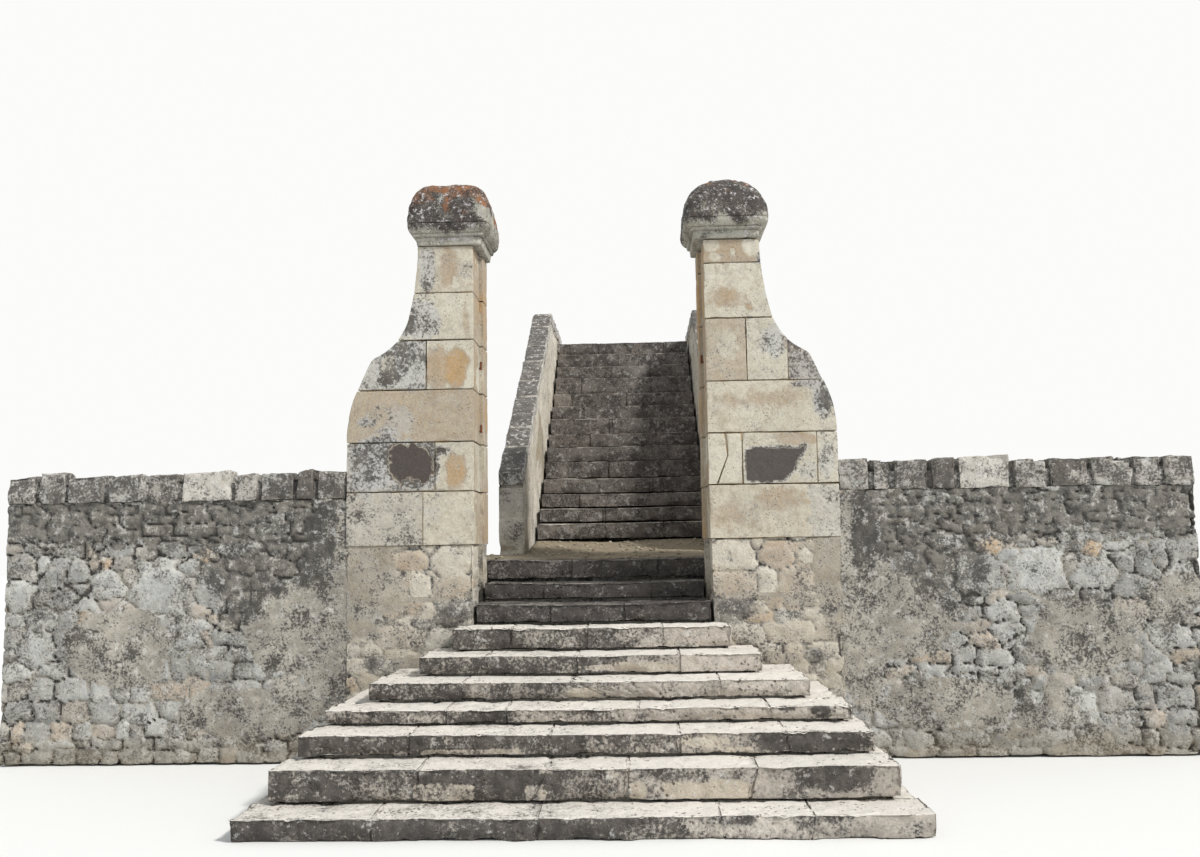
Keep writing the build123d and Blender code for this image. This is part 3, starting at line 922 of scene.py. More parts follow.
# Stains on the pier fronts, as stain has them, on channel 0 tone, 1 warmth or 2 darkness. Warmth turns the stone
# pink-brown, then ochre; darkness brings lichen, and near 0.9 slate grey.
rightStains = [
    (1.10, 3.57, 0.19, 0.06, 1, 0.62, 0.9), (1.267, 3.498, 0.028, 0.028, 1, 0.7, 0.2),
    (0.98, 3.99, 0.07, 0.05, 1, 0.0), (1.01, 3.90, 0.045, 0.035, 1, 0.0, 0.6), (1.15, 3.93, 0.026, 0.04, 1, 0.1, 0.5),
    (1.31, 3.98, 0.09, 0.075, 1, 0.0, 0.4), (1.31, 3.98, 0.09, 0.075, 0, 1.0, 0.4), (1.37, 3.88, 0.03, 0.05, 2, 0.5),
    (1.42, 3.70, 0.05, 0.22, 2, 0.4, 0.8), (1.47, 3.26, 0.10, 0.14, 2, 0.45, 0.9),
    (1.08, 3.2, 0.06, 0.12, 1, 0.1, 0.9), (1.62, 3.2, 0.09, 0.06, 1, 1.4), (1.73, 2.87, 0.12, 0.03, 1, 0.8, 0.6),
    (1.73, 2.87, 0.12, 0.03, 2, 0.5, 0.6), (1.36, 2.76, 0.32, 0.07, 1, 0.55, 0.9),
    (1.05, 2.6, 0.12, 0.1, 1, 0.35, 0.9), (1.82, 2.74, 0.10, 0.15, 2, 0.5, 0.8),
    (1.60, 2.44, 0.16, 0.05, 1, 0.62, 0.3), (1.35, 2.243, 0.146, 0.134, 2, 0.98, 0.1),
    (1.49, 2.243, 0.11, 0.134, 2, 0.97, 0.3, 0.65), (1.69, 2.2, 0.07, 0.08, 2, 0.3),
    (1.46, 1.97, 0.2, 0.08, 1, 0.62, 0.8), (1.10, 1.85, 0.16, 0.1, 1, 0.5, 0.9),
    (1.84, 2.25, 0.06, 0.14, 2, 0.35, 0.7),
]
leftStains = [
    (1.285, 3.86, 0.075, 0.20, 2, 0.42, 0.4), (1.11, 3.86, 0.07, 0.17, 1, 0.62, 0.4),
    (1.06, 3.745, 0.026, 0.05, 1, 0.0), (0.97, 3.8, 0.03, 0.16, 0, 1.0), (1.34, 3.47, 0.15, 0.19, 2, 0.42, 0.5),
    (1.46, 3.46, 0.07, 0.13, 2, 0.75, 0.7), (0.975, 3.46, 0.03, 0.15, 1, 0.5, 0.6),
    (1.44, 3.09, 0.14, 0.2, 2, 0.46, 0.6), (1.60, 3.06, 0.06, 0.14, 2, 0.75, 0.7),
    (1.21, 3.07, 0.09, 0.2, 1, 0.66, 0.5), (1.045, 3.05, 0.085, 0.14, 1, 0.86, 0.6),
    (1.47, 2.28, 0.25, 0.19, 2, 0.97, 0.3), (1.18, 2.40, 0.06, 0.045, 2, 0.93, 0.9),
    (1.22, 2.28, 0.045, 0.13, 2, 0.93, 0.9), (1.06, 2.22, 0.08, 0.15, 1, 0.82, 0.6),
    (1.5, 2.65, 0.11, 0.15, 2, 0.35, 0.8), (1.7, 2.3, 0.16, 0.3, 2, 0.6, 0.8), (1.5, 1.9, 0.3, 0.2, 2, 0.3, 0.9),
]


def reveal(piece, inner, tone, warmth):
    # The side that faces the gate gets a warm patina, and a tone that is painted light: sunlit on the left pier,
    # painted shade on the right
    points, (thick, start) = piece["points"], pierForm["revealZone"]
    side = (points[:, 0] < inner + thick) & (points[:, 1] > start)
    piece["tint"][:, 1] = np.where(side, warmth * (0.3 + noise(points, 0.3, 7, 2)), piece["tint"][:, 1])
    piece["tint"][:, 0] = np.where(side, tone, piece["tint"][:, 0])
    return piece


def followShoulder(points, start, width, inset=0.0, most=math.inf):
    # Stretches the outer stone of a course from its start, so that it ends at the shoulder at every height
    reach = np.minimum(pierOut(points[:, 2]), most) - inset - start
    points[:, 0] = start + (points[:, 0] - start) * np.maximum(reach / width, 0)


def pierStoneParts(lo, hi, depth, joints, ends, tint, laid):
    # One stone of a course and the mortar round it, between the lines of its two joints. Depth is from where to
    # where along Y, ends say whether it is the course's first or last stone, and laid has look, inset and seed.
    (near, far), (startLine, endLine), (first, last) = depth, joints, ends
    look, inset, seed = laid["look"], laid["inset"], laid["seed"]
    half = pierForm["gap"] / 2
    left = [(x + half * (not first), z) for x, z in startLine]
    right = [(x - half * (not last), z) for x, z in endLine]
    start, end, top = left[0][0], right[0][0], hi[2]
    if last:
        top = min(top, pierLevel(start))
    cut = not last and end > pierOut(top)
    if cut:  # the shoulder takes its upper corner
        levels = np.linspace(hi[2], lo[2], 30)
        right = list(zip(np.minimum(end, pierOut(levels)), levels))
    plain = ("z-", "z+") + ("y+",) * (far == pierForm["rebate"]) + closed(first, last or cut)

    block = wornBlock((start, near, lo[2] + half), (end, far, top - half), look, seed, tint, plain)
    overlap = pierForm["gap"] + inset
    fillStart, fillEnd = start - overlap * (not first), end + overlap * (not last)
    fill = jointFill((fillStart, near, lo[2] - inset), (fillEnd, far, top + inset), look, seed, inset, plain=plain)
    fill["tint"][:, 2] = 0.12
    if last:
        followShoulder(block["points"], start, end - start)
        followShoulder(fill["points"], start, fillEnd - inset - start, inset, hi[0])
    else:
        slanted(block, start, end, left, right)
        slanted(fill, start, end, left, right)
    points = fill["points"]
    points[:, 0] = np.minimum(points[:, 0], pierOut(points[:, 2]) - inset)
    return [block, fill]


def pierCourse(lo, hi, stones, inset, seed):
    # A course in two layers: in front of the rebate, and behind it with other joints
    parts, rebate, rng = [], pierForm["rebate"], np.random.default_rng(seed)
    layers = ((lo[1], rebate, lo[0] + pierForm["rebateDeep"]), (rebate, hi[1], lo[0]))
    for layer, (near, far, inner) in enumerate(layers):
        startLine = [(inner, hi[2]), (inner, lo[2])]
        shift = 0.0 if layer == 0 else rng.uniform(-0.12, 0.16)
        look = pierForm["look"] if layer == 0 else {**pierForm["look"], "grid": pierForm["backGrid"]}
        laid = {"look": look, "inset": inset, "seed": seed * 17 + layer}
        for k, (end, tone, warm, dark, *back) in enumerate(stones):
            last = end is None
            line = end if isinstance(end, list) else [(hi[0] if last else end, hi[2])] * 2
            endLine = [(x + shift * (not last), z) for x, z in line]
            setBack = (back[0] if back and layer == 0 else 0.0) + rng.uniform(0, 0.003)
            depth, joints, ends = (near + setBack, far), (startLine, endLine), (k == 0, last)
            parts += pierStoneParts(lo, hi, depth, joints, ends, (tone, warm, dark, 0), laid)
            startLine = endLine
    return parts


pierFoot = {
    # Quoins and rubble of the pier's foot, measured on its front: x, z, half width, half height, tone, warmth, dark
    "stones": [
        (1.095, 1.545, 0.172, 0.112, 0.95, 0.2, 0.0), (1.435, 1.54, 0.145, 0.085, 0.8, 0.6, 0.05),
        (1.09, 1.32, 0.165, 0.095, 0.85, 0.5, 0.1), (1.34, 1.355, 0.075, 0.088, 1.0, 0.1, 0.05),
        (1.57, 1.35, 0.135, 0.078, 0.7, 0.5, 0.2), (1.08, 1.145, 0.165, 0.08, 0.6, 0.05, 0.6),
        (1.19, 0.93, 0.122, 0.07, 0.8, 0.1, 0.3), (1.495, 0.955, 0.178, 0.08, 0.75, 0.35, 0.2),
        (1.795, 0.985, 0.078, 0.095, 0.85, 0.3, 0.15), (1.70, 0.78, 0.065, 0.053, 0.6, 0.0, 0.55),
        (1.29, 1.15, 0.06, 0.055, 0.8, 0.3, 0.1), (1.63, 1.53, 0.06, 0.05, 0.9, 0.2, 0.1),
        (1.40, 1.19, 0.07, 0.045, 0.7, 0.6, 0.1), (1.55, 1.17, 0.08, 0.05, 0.5, 0.65, 0.3),
    ],
    "look": {
        "grid": 0.02, "round": 0.012, "joint": 0.2, "deep": 0.010, "proud": 0.010, "bulge": 0.010, "uneven": 0.012,
        "coat": 0.4, "warm": 0.8, "dark": 0.5, "ragged": 0.055, "square": 2.6, "crevice": 0.5,
    },
    "coats": [(1.84, 1.5, 0.13, 0.6), (1.6, 1.2, 0.12, 0.06), (1.35, 0.75, 0.25, 0.06), (1.3, 1.24, 0.3, 0.02)],
    "depth": (0.12, 0.2),  # those stones' middle and half depth
    "usual": (0.17, 0.3, 0.11),  # size of the other stones
    "above": 0.015,  # how far it runs into the first course
}


def seenStones(form):
    # Place and size of the stones seen on a front, and their tints
    y, halfY = form["depth"]
    placed = [(x, y, z, halfX, halfY, halfZ) for x, z, halfX, halfZ, *_ in form["stones"]]
    return placed, {k: row[4:] for k, row in enumerate(form["stones"])}


def buildPier(side, courses, stains, seed):
    rebate, rebateDeep = pierForm["rebate"], pierForm["rebateDeep"]
    for k, (course, stones) in enumerate(courses.items()):
        node = f"{side}_pier_{course}"
        lo, hi = corners(node, side)
        inset = pierForm["openInsets"].get(course, pierForm["inset"])
        parts = []
        for p in pierCourse(lo, hi, stones, inset, seed + k):
            stain(p, stains, seed + 40, frontTo=0.12)
            parts.append(onSide(reveal(p, lo[0], *pierForm["reveal"][side]), side))
        makePiece(f"{node}_stones", parts, materials["pierStone"], "pier_ashlar", node)

    node, parts, (quoins, tints) = f"{side}_pier_base", [], seenStones(pierFoot)
    lo, hi = corners(node, side)
    top, usual = hi[2] + pierFoot["above"], pierFoot["usual"]

    low, high = (lo[0] + rebateDeep, lo[1], lo[2]), (hi[0], rebate, top)
    stones, plain = coursedStones(low, high, usual, seed + 60, quoins), ("z-", "z+", "y+")
    parts.append(rubbleBlock(low, high, pierFoot["look"], stones, seed + 61, plain, pierFoot["coats"], tints))
    low, high = (lo[0], rebate, lo[2]), (hi[0], hi[1], top)
    stones, plain = coursedStones(low, high, usual, seed + 60), ("z-", "z+")
    parts.append(rubbleBlock(low, high, {**pierFoot["look"], "grid": pierForm["backGrid"]}, stones, seed + 61, plain))
    parts = [onSide(p, side) for p in parts]
    makePiece(f"{side}_pier_base_masonry", parts, materials["footStone"], "pier_ashlar", node)


buildPier("right", rightCourses, rightStains, 300)
buildPier("left", leftCourses, leftStains, 500)
print("pier shafts built")


# Pier caps: mouldings and cushion ring by ring, mitred corners below, soft hips above

capForms = {
    # Mouldings: overhang and height from the bed up. Bends: radius and turn in degrees of the dome's arcs. Corner:
    # how square the plan is below and on top. Crust, orange and black: where they start, in shares of the height,
    # after the amount. Clean: how far across the front it starts, and how high it goes.
    "right": {
        "mouldings": [
            (0.006, 0), (0.020, 0.004), (0.026, 0.054), (0.019, 0.058), (0.020, 0.064), (0.046, 0.067), (0.050, 0.082),
            (0.042, 0.087),
        ],
        "widest": (0.100, 0.146), "groove": (0.006, 0.010), "rise": 0.016,
        "bends": [(0.450, 24), (0.280, 38), (0.340, 28)], "corner": (9, 3.1),
        "crustFrom": 0.28, "orange": (1.7, 0.9), "black": (0.66, 0.22), "clean": (0.6, 0.3),
    },
    "left": {
        "mouldings": [
            (0.006, 0), (0.018, 0.004), (0.026, 0.057), (0.019, 0.061), (0.020, 0.067), (0.042, 0.070), (0.047, 0.086),
            (0.040, 0.091),
        ],
        "widest": (0.092, 0.158), "groove": (0.006, 0.010), "rise": 0.022,
        "bends": [(0.760, 18), (0.115, 50), (0.360, 22)], "corner": (11, 4.2),
        "crustFrom": 0.27, "orange": (1.25, 0.56), "black": (0.66, 0.22), "clean": (0.85, 0.75),
    },
}
capMesh = {"steps": 8, "cells": 56, "mitre": 22}  # in each curve, along each side, and how square the mitred part is
capWear = {"proud": 0.002, "rough": 0.026, "uneven": 0.004, "chips": 0.014}  # the first two are the crust's


def capOutline(form):
    # Overhang and height above the bed, from the shaft round to the edge of the flat crown
    line = list(form["mouldings"])
    (startOut, startZ), (out, z) = line[-1], form["widest"]
    steps = capMesh["steps"]
    for k in range(1, steps + 1):  # quarter round under the widest line
        turn = k / steps * math.pi / 2
        line.append((startOut + (out - startOut) * math.sin(turn), z - (z - startZ) * math.cos(turn)))
    (deep, tall), rise = form["groove"], form["rise"]
    line += [(out - deep, z + 0.1 * tall), (out - deep, z + 0.8 * tall), (out, z + tall), (out, z + tall + rise)]
    z += tall + rise
    heading = math.pi / 2
    for radius, turn in form["bends"]:
        bend = math.radians(turn) / steps
        chord = 2 * radius * math.sin(bend / 2)
        for _ in range(steps):
            heading += bend / 2
            out, z = out + chord * math.cos(heading), z + chord * math.sin(heading)
            heading += bend / 2
            line.append((out, z))
    return np.array(line)


def capSkin(form, lo, hi):
    # The cap's smooth skin: points, faces, each point's height over the bed, and that as a share of the whole
    line, middle, cells = capOutline(form), (lo + hi) / 2, capMesh["cells"]
    moulded = len(form["mouldings"])
    widest = moulded + capMesh["steps"] - 1  # the groove's four points follow this one
    halfX = (hi[0] - lo[0]) / 2 - form["widest"][0]
    halfY = (hi[1] - lo[1]) / 2 - form["widest"][0]
    run = np.concatenate([[0], np.cumsum(np.hypot(*np.diff(line, axis=0).T))])
    eighth = 0.78  # of a turn, nearly
    xs = ys = np.tan(np.linspace(-eighth, eighth, cells)) / math.tan(eighth)  # even round the corners
    sharp = np.concatenate([run[:moulded], run[widest : widest + 5]]) / run[-1]  # the edges there stay
    zs = np.unique(np.concatenate([np.linspace(0, 1, cells), sharp]))
    cube, faces = boxShell(xs, ys, zs, ("z-",))
    reach = np.maximum(np.abs(cube[:, 0]), np.abs(cube[:, 1]))
    along = cube[:, 2] * run[-1]
    out, level = np.interp(along, run, line[:, 0]), np.interp(along, run, line[:, 1])
    flat = np.where((cube[:, 2] == 1) | (cube[:, 2] == 0), reach, 1.0)  # the crown and the bed run in to the middle
    square = cube[:, :2] / np.maximum(reach, 1e-6)[:, None]
    wide, deep = (halfX + out) * flat, (halfY + out) * flat
    angle = np.arctan2(square[:, 1] * (halfY + out), square[:, 0] * (halfX + out))
    low, high = form["corner"]
    mitred = level <= line[moulded - 1, 1] + 1e-6
    power = np.where(mitred, capMesh["mitre"], low + (high - low) * smooth(level / line[-1, 1], 0.25, 1.0))
    c, s = np.abs(np.cos(angle)), np.abs(np.sin(angle))
    radius = ((c / np.maximum(wide, 1e-6)) ** power + (s / np.maximum(deep, 1e-6)) ** power) ** (-1 / power)
    points = np.stack([radius * np.cos(angle), radius * np.sin(angle), level], 1)
    points += (middle[0], middle[1], lo[2])
    return points, faces, level, level / line[-1, 1]


def buildCap(side, seed):
    form = capForms[side]
    lo, hi = corners(f"{side}_pier_cap")
    middle = (lo + hi) / 2
    points, faces, level, height = capSkin(form, lo, hi)
    away = points - (middle[0], middle[1], lo[2] + 0.2)
    away /= np.linalg.norm(away, axis=1, keepdims=True)
    patchy = noise(points, 0.16, seed + 5, 3) - 0.5
    crust = smooth(height + 0.5 * patchy, form["crustFrom"], form["crustFrom"] + 0.12)  # lichen stands proud
    moved = crust * (capWear["proud"] + capWear["rough"] * (noise(points, 0.05, seed + 1, 3) - 0.5))
    moved = moved - capWear["uneven"] * noise(points, 0.13, seed, 3)
    moved = moved - (1 - crust) * capWear["chips"] * smooth(noise(points, 0.10, seed + 2, 2), 0.64, 0.8)
    points = points + away * moved[:, None]

    tint = np.zeros((len(points), 4))
    tint[:, 0] = 0.8 - 0.3 * crust
    amount, start = form["orange"]
    orange = smooth(height + 1.1 * (noise(points, 0.1, seed + 8, 3) - 0.5), start, start + 0.1)
    tint[:, 1] = amount * orange
    amount, start = form["black"]
    tint[:, 2] = amount * smooth(height + 0.5 * (noise(points, 0.15, seed + 6, 3) - 0.5), start - 0.1, start + 0.12)
    across, upTo = form["clean"]  # the sunny end of the front is cleaner below
    clean = smooth(points[:, 0], middle[0] + across * (hi[0] - lo[0]) * 0.3, hi[0]) * (height < upTo + patchy)
    tint[:, 2] *= (1 - clean) * (1 - 0.5 * orange) * smooth(level, 0.075, 0.12)
    makePiece(f"{side}_cap_stone", [part(points, faces, tint)], materials["capStone"], "cap_stone", f"{side}_pier_cap")


buildCap("right", 71)
buildCap("left", 83)
print("caps turned")


# Garden walls: rough stones and old render, with a coping of rough blocks

wallForm = {
    # Stones seen on the front: x, z, half width, half height, tone, warmth, dark
    "stones": [
        (3.03, 1.59, 0.095, 0.055, 0.85, 1.0, 0.0), (2.955, 1.39, 0.158, 0.158, 0.5, 0.1, 0.15),
        (3.19, 1.512, 0.108, 0.042, 0.8, 0.1, 0.05), (3.40, 1.39, 0.192, 0.158, 0.95, 0.05, 0.0),
        (3.657, 1.444, 0.072, 0.064, 0.6, 0.45, 0.1), (3.82, 1.40, 0.158, 0.098, 0.8, 0.05, 0.05),
        (3.84, 1.551, 0.06, 0.053, 0.85, 1.05, 0.0), (4.07, 1.465, 0.078, 0.075, 0.6, 0.1, 0.1),
        (4.228, 1.455, 0.078, 0.12, 0.4, 0.05, 0.15), (4.147, 1.29, 0.112, 0.083, 0.25, 0.0, 0.2),
        (4.33, 1.567, 0.06, 0.068, 0.75, 0.1, 0.1), (4.515, 1.545, 0.112, 0.087, 0.7, 0.3, 0.1),
        (4.522, 1.315, 0.09, 0.083, 0.85, 0.05, 0.05), (4.34, 1.15, 0.097, 0.083, 0.7, 0.0, 0.15),
        (3.106, 1.064, 0.105, 0.052, 0.75, 0.05, 0.1), (3.148, 0.94, 0.094, 0.064, 0.8, 0.0, 0.15),
        (2.6, 1.05, 0.12, 0.09, 0.7, 0.2, 0.1), (4.38, 0.88, 0.13, 0.10, 0.75, 0.1, 0.1),
        (3.08, 1.20, 0.06, 0.035, 0.9, 0.55, 0.0), (3.16, 1.40, 0.05, 0.04, 0.8, 0.4, 0.0),
        (2.70, 1.64, 0.12, 0.06, 0.85, 0.1, 0.1), (3.5, 1.62, 0.07, 0.045, 0.8, 0.5, 0.05),
    ],
    "depth": (0.1, 0.18),  # those stones' middle and half depth
    "coats": [(2.02, 1.2, 0.26, 0.8), (2.4, 1.05, 0.34, 0.32), (3.72, 0.9, 0.42, 0.3), (2.7, 0.4, 0.5, 0.2)],
    "look": {
        "grid": 0.019, "round": 0.012, "joint": 0.25, "deep": 0.016, "proud": 0.012, "bulge": 0.012, "uneven": 0.014,
        "coat": 0.36, "warm": 0.75, "dark": 0.3, "ragged": 0.1, "square": 2.2, "crevice": 0.75,
    },
    # Darkness under the coping and beside the pier: black growth, together with painted shade under the coping
    "stains": [
        (2.34, 1.72, 0.42, 0.34, 2, 0.62, 0.8), (2.66, 1.5, 0.34, 0.2, 2, 0.58, 0.8),
        (3.1, 1.86, 1.2, 0.2, 2, 0.64, 0.5), (4.3, 1.86, 0.8, 0.2, 2, 0.6, 0.5), (1.97, 1.5, 0.05, 0.5, 2, 0.1, 0.6),
        (2.76, 1.2, 0.14, 0.14, 2, 0.45, 0.7),
    ],
    "usual": (0.19, 0.25, 0.115),  # size of the stones
    "thin": (0.24, 0.25, 0.07),  # size of the flat ones on top
    "thinFrom": 1.68,
    "intoPier": 0.05,
    "lap": 0.02,  # of the front half over the back half
    "backGrid": 0.045,  # of the coarser mesh at the back
    "copingBed": {"into": 0.02, "back": 0.04, "below": 0.07, "under": 0.10, "inset": 0.016},
    "copingJoint": 0.003,
    "copingSunk": 0.035,  # into the bed
    "copingPale": 4,  # the one clean block of the coping
    "copingLean": 0.03,
    "leanFrom": 0.1,
    "copingEnds": [2.17, 2.33, 2.62, 2.83, 3.25, 3.52, 3.84, 4.16, 4.40],
    "copingTones": [0.3, 0.3, 0.2, 0.35, 0.9, 0.45, 0.6, 0.3, 0.5, 0.4],
    "copingLook": {"grid": 0.0235, "round": 0.026, "chips": 0.034, "uneven": 0.038, "lump": 0.15, "pits": 0.016},
}


def buildWall(side, seed):
    values, node = wallForm, f"{side}_garden_wall"
    lo, hi = corners(node, side)
    big, tints = seenStones(values)
    stones = coursedStones(lo, hi, values["usual"], seed, big)
    thinTop = coursedStones((lo[0], lo[1], values["thinFrom"]), hi, values["thin"], seed + 1)
    stones = np.concatenate([stones[stones[:, 2] < values["thinFrom"]], thinTop])
    inner, middle, look = lo[0] - values["intoPier"], (lo[1] + hi[1]) / 2, values["look"]
    low, high, plain = (inner, lo[1], lo[2]), (hi[0], middle + values["lap"], hi[2]), ("x-", "z-", "z+", "y+")
    face = rubbleBlock(low, high, look, stones, seed + 2, plain, values["coats"], tints)
    face = stain(face, values["stains"], seed + 3, frontTo=0.2)
    look, plain = {**look, "grid": values["backGrid"]}, ("x-", "z-", "z+", "y-")
    back = rubbleBlock((inner, middle, lo[2]), hi, look, stones, seed + 2, plain, tints=tints)
    parts = [onSide(face, side), onSide(back, side)]
    makePiece(f"{side}_wall_masonry", parts, materials["rubbleStone"], "rubble_masonry", node)


def buildCoping(side, seed):
    # Rough blocks in two rows, whose tops slope a little this way or that, on a bed of mortar
    values, node, joint = wallForm, f"{side}_wall_coping", wallForm["copingJoint"]
    lo, hi = corners(node, side)
    rng, bed = np.random.default_rng(seed + 4), values["copingBed"]
    start = lo[0] - bed["into"]
    ends = [start] + values["copingEnds"] + [hi[0]]
    low = (start, lo[1] + bed["back"], lo[2] - bed["below"])
    high = (hi[0], hi[1] - bed["back"], hi[2] - bed["under"])
    parts = [filling(low, high, bed["inset"], (0.4, 0.2, 0.6, 0.3))]
    for k, tone in enumerate(values["copingTones"]):
        split = rng.uniform(0.2, 0.32)
        for row, (near, far) in enumerate(((lo[1], split), (split, hi[1]))):
            low = (ends[k] + joint, near + rng.uniform(0, 0.02) * (1 - row), lo[2] - values["copingSunk"])
            high = (ends[k + 1] - joint, far - 0.004 - rng.uniform(0, 0.02) * row, hi[2] - rng.uniform(0, 0.03))
            tint = (tone, rng.uniform(0, 0.4), rng.uniform(0.3, 0.8), 0)
            if k == values["copingPale"] and row == 0:
                tint, high = (1.0, 0.0, 0.1, 0), (high[0], high[1], hi[2])
            plain = ("z-", "y-" if row else "y+")
            stone = wornBlock(low, high, values["copingLook"], seed * 3 + k * 11 + row, tint, plain)
            points, lean = stone["points"], values["copingLean"] * rng.uniform(-1, 1)
            upper = points[:, 2] > lo[2] + values["leanFrom"]
            points[:, 2] -= lean * (points[:, 0] - low[0]) / (high[0] - low[0]) * upper
            parts.append(stone)
    parts = [onSide(p, side) for p in parts]
    makePiece(f"{side}_coping_stones", parts, materials["copingStone"], "wall_coping", node)


for side, seed in (("right", 900), ("left", 940)):
    buildWall(side, seed)
    buildCoping(side, seed)
print("garden walls built")


# Upper flight, its parapets, the core behind it and the landing

upperFlight = {
    "count": 14,
    "firstJoints": [0.032, 0.62],
    "gap": 0.005,
    "inset": 0.010,
    "trodden": 0.010,
    "nosing": {"least": 0.008, "most": 0.05, "wave": 0.012, "dip": 0.012, "undercut": 0.014},
    "paleStone": {"step": 10, "joints": [-0.42, 0.25, 0.7], "tint": (1.0, 0.35, 0.0)},  # let in at the left end
    "flags": {"split": 0.27, "joint": 0.003, "ends": [(-0.12, 0.45), (0.08, 0.57)]},
    "look": {"grid": 0.026, "round": 0.007, "chips": 0.014, "uneven": 0.012, "lump": 0.2, "pits": 0.006},
}


def buildUpperFlight(values):
    rng, paleStone = np.random.default_rng(77), values["paleStone"]
    for i in range(1, values["count"] + 1):
        node = f"upper_step_{i}"
        lo, hi = corners(node)
        joints = sorted(rng.uniform(lo[0] + 0.3, hi[0] - 0.3, rng.integers(1, 3)))
        if i == 1:
            joints = values["firstJoints"]
        if i == paleStone["step"]:
            joints = paleStone["joints"]
        dark = 0.3 + 0.25 * rng.random()
        parts = barBlocks(lo, hi, joints, values, 700 + i * 29, (dark, dark), lo[1], walled=True)
        if i == paleStone["step"]:
            parts[0]["tint"][:, :3] = paleStone["tint"]
        makePiece(f"{node}_stones", parts, materials["upperStepStoneGrownAndShaded"], "step_stone", node)

    lo, hi = corners("top_landing_flags")
    parts, flags = [filling(lo, hi, 0.02)], values["flags"]
    split, joint = lo[1] + flags["split"], flags["joint"]
    for row, (near, far) in enumerate(((lo[1], split), (split, hi[1]))):
        ends = [lo[0], *flags["ends"][row], hi[0]]
        for k in range(len(ends) - 1):
            low = (ends[k] + joint, near + joint, lo[2])
            high = (ends[k + 1] - joint, far - joint, hi[2] - rng.uniform(0, 0.005))
            tint = (rng.uniform(0.3, 0.9), 0.2, 0.35, 0)
            plain = ("z-", "x-", "x+", "y-") + ("y+",) * (row == 0)
            parts.append(wornBlock(low, high, values["look"], 760 + row * 5 + k, tint, plain))
    makePiece("top_landing_stones", parts, materials["upperStepStoneGrownAndShaded"], "step_stone", "top_landing_flags")


buildUpperFlight(upperFlight)
print("upper flight laid")

parapetForm = {
    "foot": 2.31,
    "front": 1.30,
    "crest": 4.95,
    "slope": 0.605,
    "cap": 0.13,  # thickness of the stones along the top
    "capLength": 0.47,
    "capVaries": 0.1,  # the ends of each
    "capJoint": 0.002,
    "capInto": 0.03,  # the rubble
    "usual": (0.34, 0.3, 0.2),  # size of the rubble, here and in the cores
    # The two seen on the end: their place from its corner, half width and depth, level and half height, and from
    # where up and how far back no other stone stands
    "frontStones": {
        "place": (0.125, 0.1), "half": (0.2, 0.3), "levels": [(2.05, 0.15), (1.78, 0.12)], "from": 1.6, "room": 0.35,
    },
    "look": {
        "grid": 0.052, "round": 0.014, "joint": 0.24, "deep": 0.013, "proud": 0.012, "bulge": 0.012, "uneven": 0.012,
        "coat": 0.34, "warm": 0.4, "dark": 0.4, "ragged": 0.05, "square": 2.6, "crevice": 0.4,
    },
    "capLook": {"grid": 0.03, "round": 0.026, "chips": 0.035, "uneven": 0.024, "lump": 0.16, "pits": 0.014},
}


def parapetTop(y):
    values = parapetForm
    return values["foot"] + values["slope"] * (np.clip(y, values["front"], values["crest"]) - values["front"])


def buildParapet(side, seed):
    node, values, thick = f"{side}_parapet_wall", parapetForm, parapetForm["cap"]
    lo, hi = corners(node)
    flat = parapetTop(values["front"]) - thick

    def raked(points):  # the flat-topped box takes the raking top
        rise = parapetTop(points[:, 1]) - thick - lo[2]
        return np.stack([points[:, 0], points[:, 1], lo[2] + (points[:, 2] - lo[2]) * rise / (flat - lo[2])], 1)

    stones = coursedStones(lo, hi, values["usual"], seed)
    seen = values["frontStones"]
    (x, y), (halfX, halfY) = seen["place"], seen["half"]
    front = [(lo[0] + x, lo[1] + y, z, halfX, halfY, halfZ) for z, halfZ in seen["levels"]]
    elsewhere = (stones[:, 1] > lo[1] + seen["room"]) | (stones[:, 2] < seen["from"])
    stones = np.concatenate([np.array(front), stones[elsewhere]])
    high = (hi[0], hi[1], flat)
    parts = [rubbleBlock(lo, high, values["look"], stones, seed + 1, ("z-", "z+"), shape=raked)]
    count = int(round((hi[1] - lo[1]) / values["capLength"]))
    ends = np.linspace(lo[1], hi[1], count + 1)
    rng = np.random.default_rng(seed + 2)
    ends[1:-1] += rng.uniform(-values["capVaries"], values["capVaries"], count - 1)
    for k in range(count):
        first, last = k == 0, k == count - 1
        low = (lo[0], ends[k] + values["capJoint"] * (not first), -thick - values["capInto"])
        high = (hi[0], ends[k + 1] - values["capJoint"] * (not last), -rng.uniform(0, 0.014))
        tint = (rng.uniform(0.3, 0.9), rng.uniform(0, 0.3), rng.uniform(0.25, 0.6), 0)
        plain = ("z-",) + ("y-",) * (not first) + ("y+",) * (not last)
        stone = wornBlock(low, high, values["capLook"], seed * 2 + k * 9, tint, plain)
        stone["points"][:, 2] += parapetTop(stone["points"][:, 1])
        parts.append(stone)
    makePiece(f"{side}_parapet_masonry", parts, materials["parapetStone"], "parapet_masonry", node)


buildParapet("left", 1100)
buildParapet("right", 1160)
print("parapets built")

coreForm = {
    "look": {
        "grid": 0.038, "round": 0.014, "joint": 0.24, "deep": 0.015, "proud": 0.012, "bulge": 0.014, "uneven": 0.012,
        "coat": 0.42, "warm": 0.8, "dark": 0.5, "ragged": 0.06, "square": 2.4, "crevice": 0.4,
    },
    # The fill under each upper step: behind the next one's front, short of the back, below the tread, inset and lap
    "fill": {"behind": 0.03, "short": 0.1, "below": 0.005, "inset": 0.012, "lap": 0.02},
    "backThickness": 0.4,
    "backClear": 0.004,  # of the parapets
    "landingUsual": (0.32, 0.3, 0.18),  # size of the rubble under the landing
    "kerbDeep": 0.12,
}


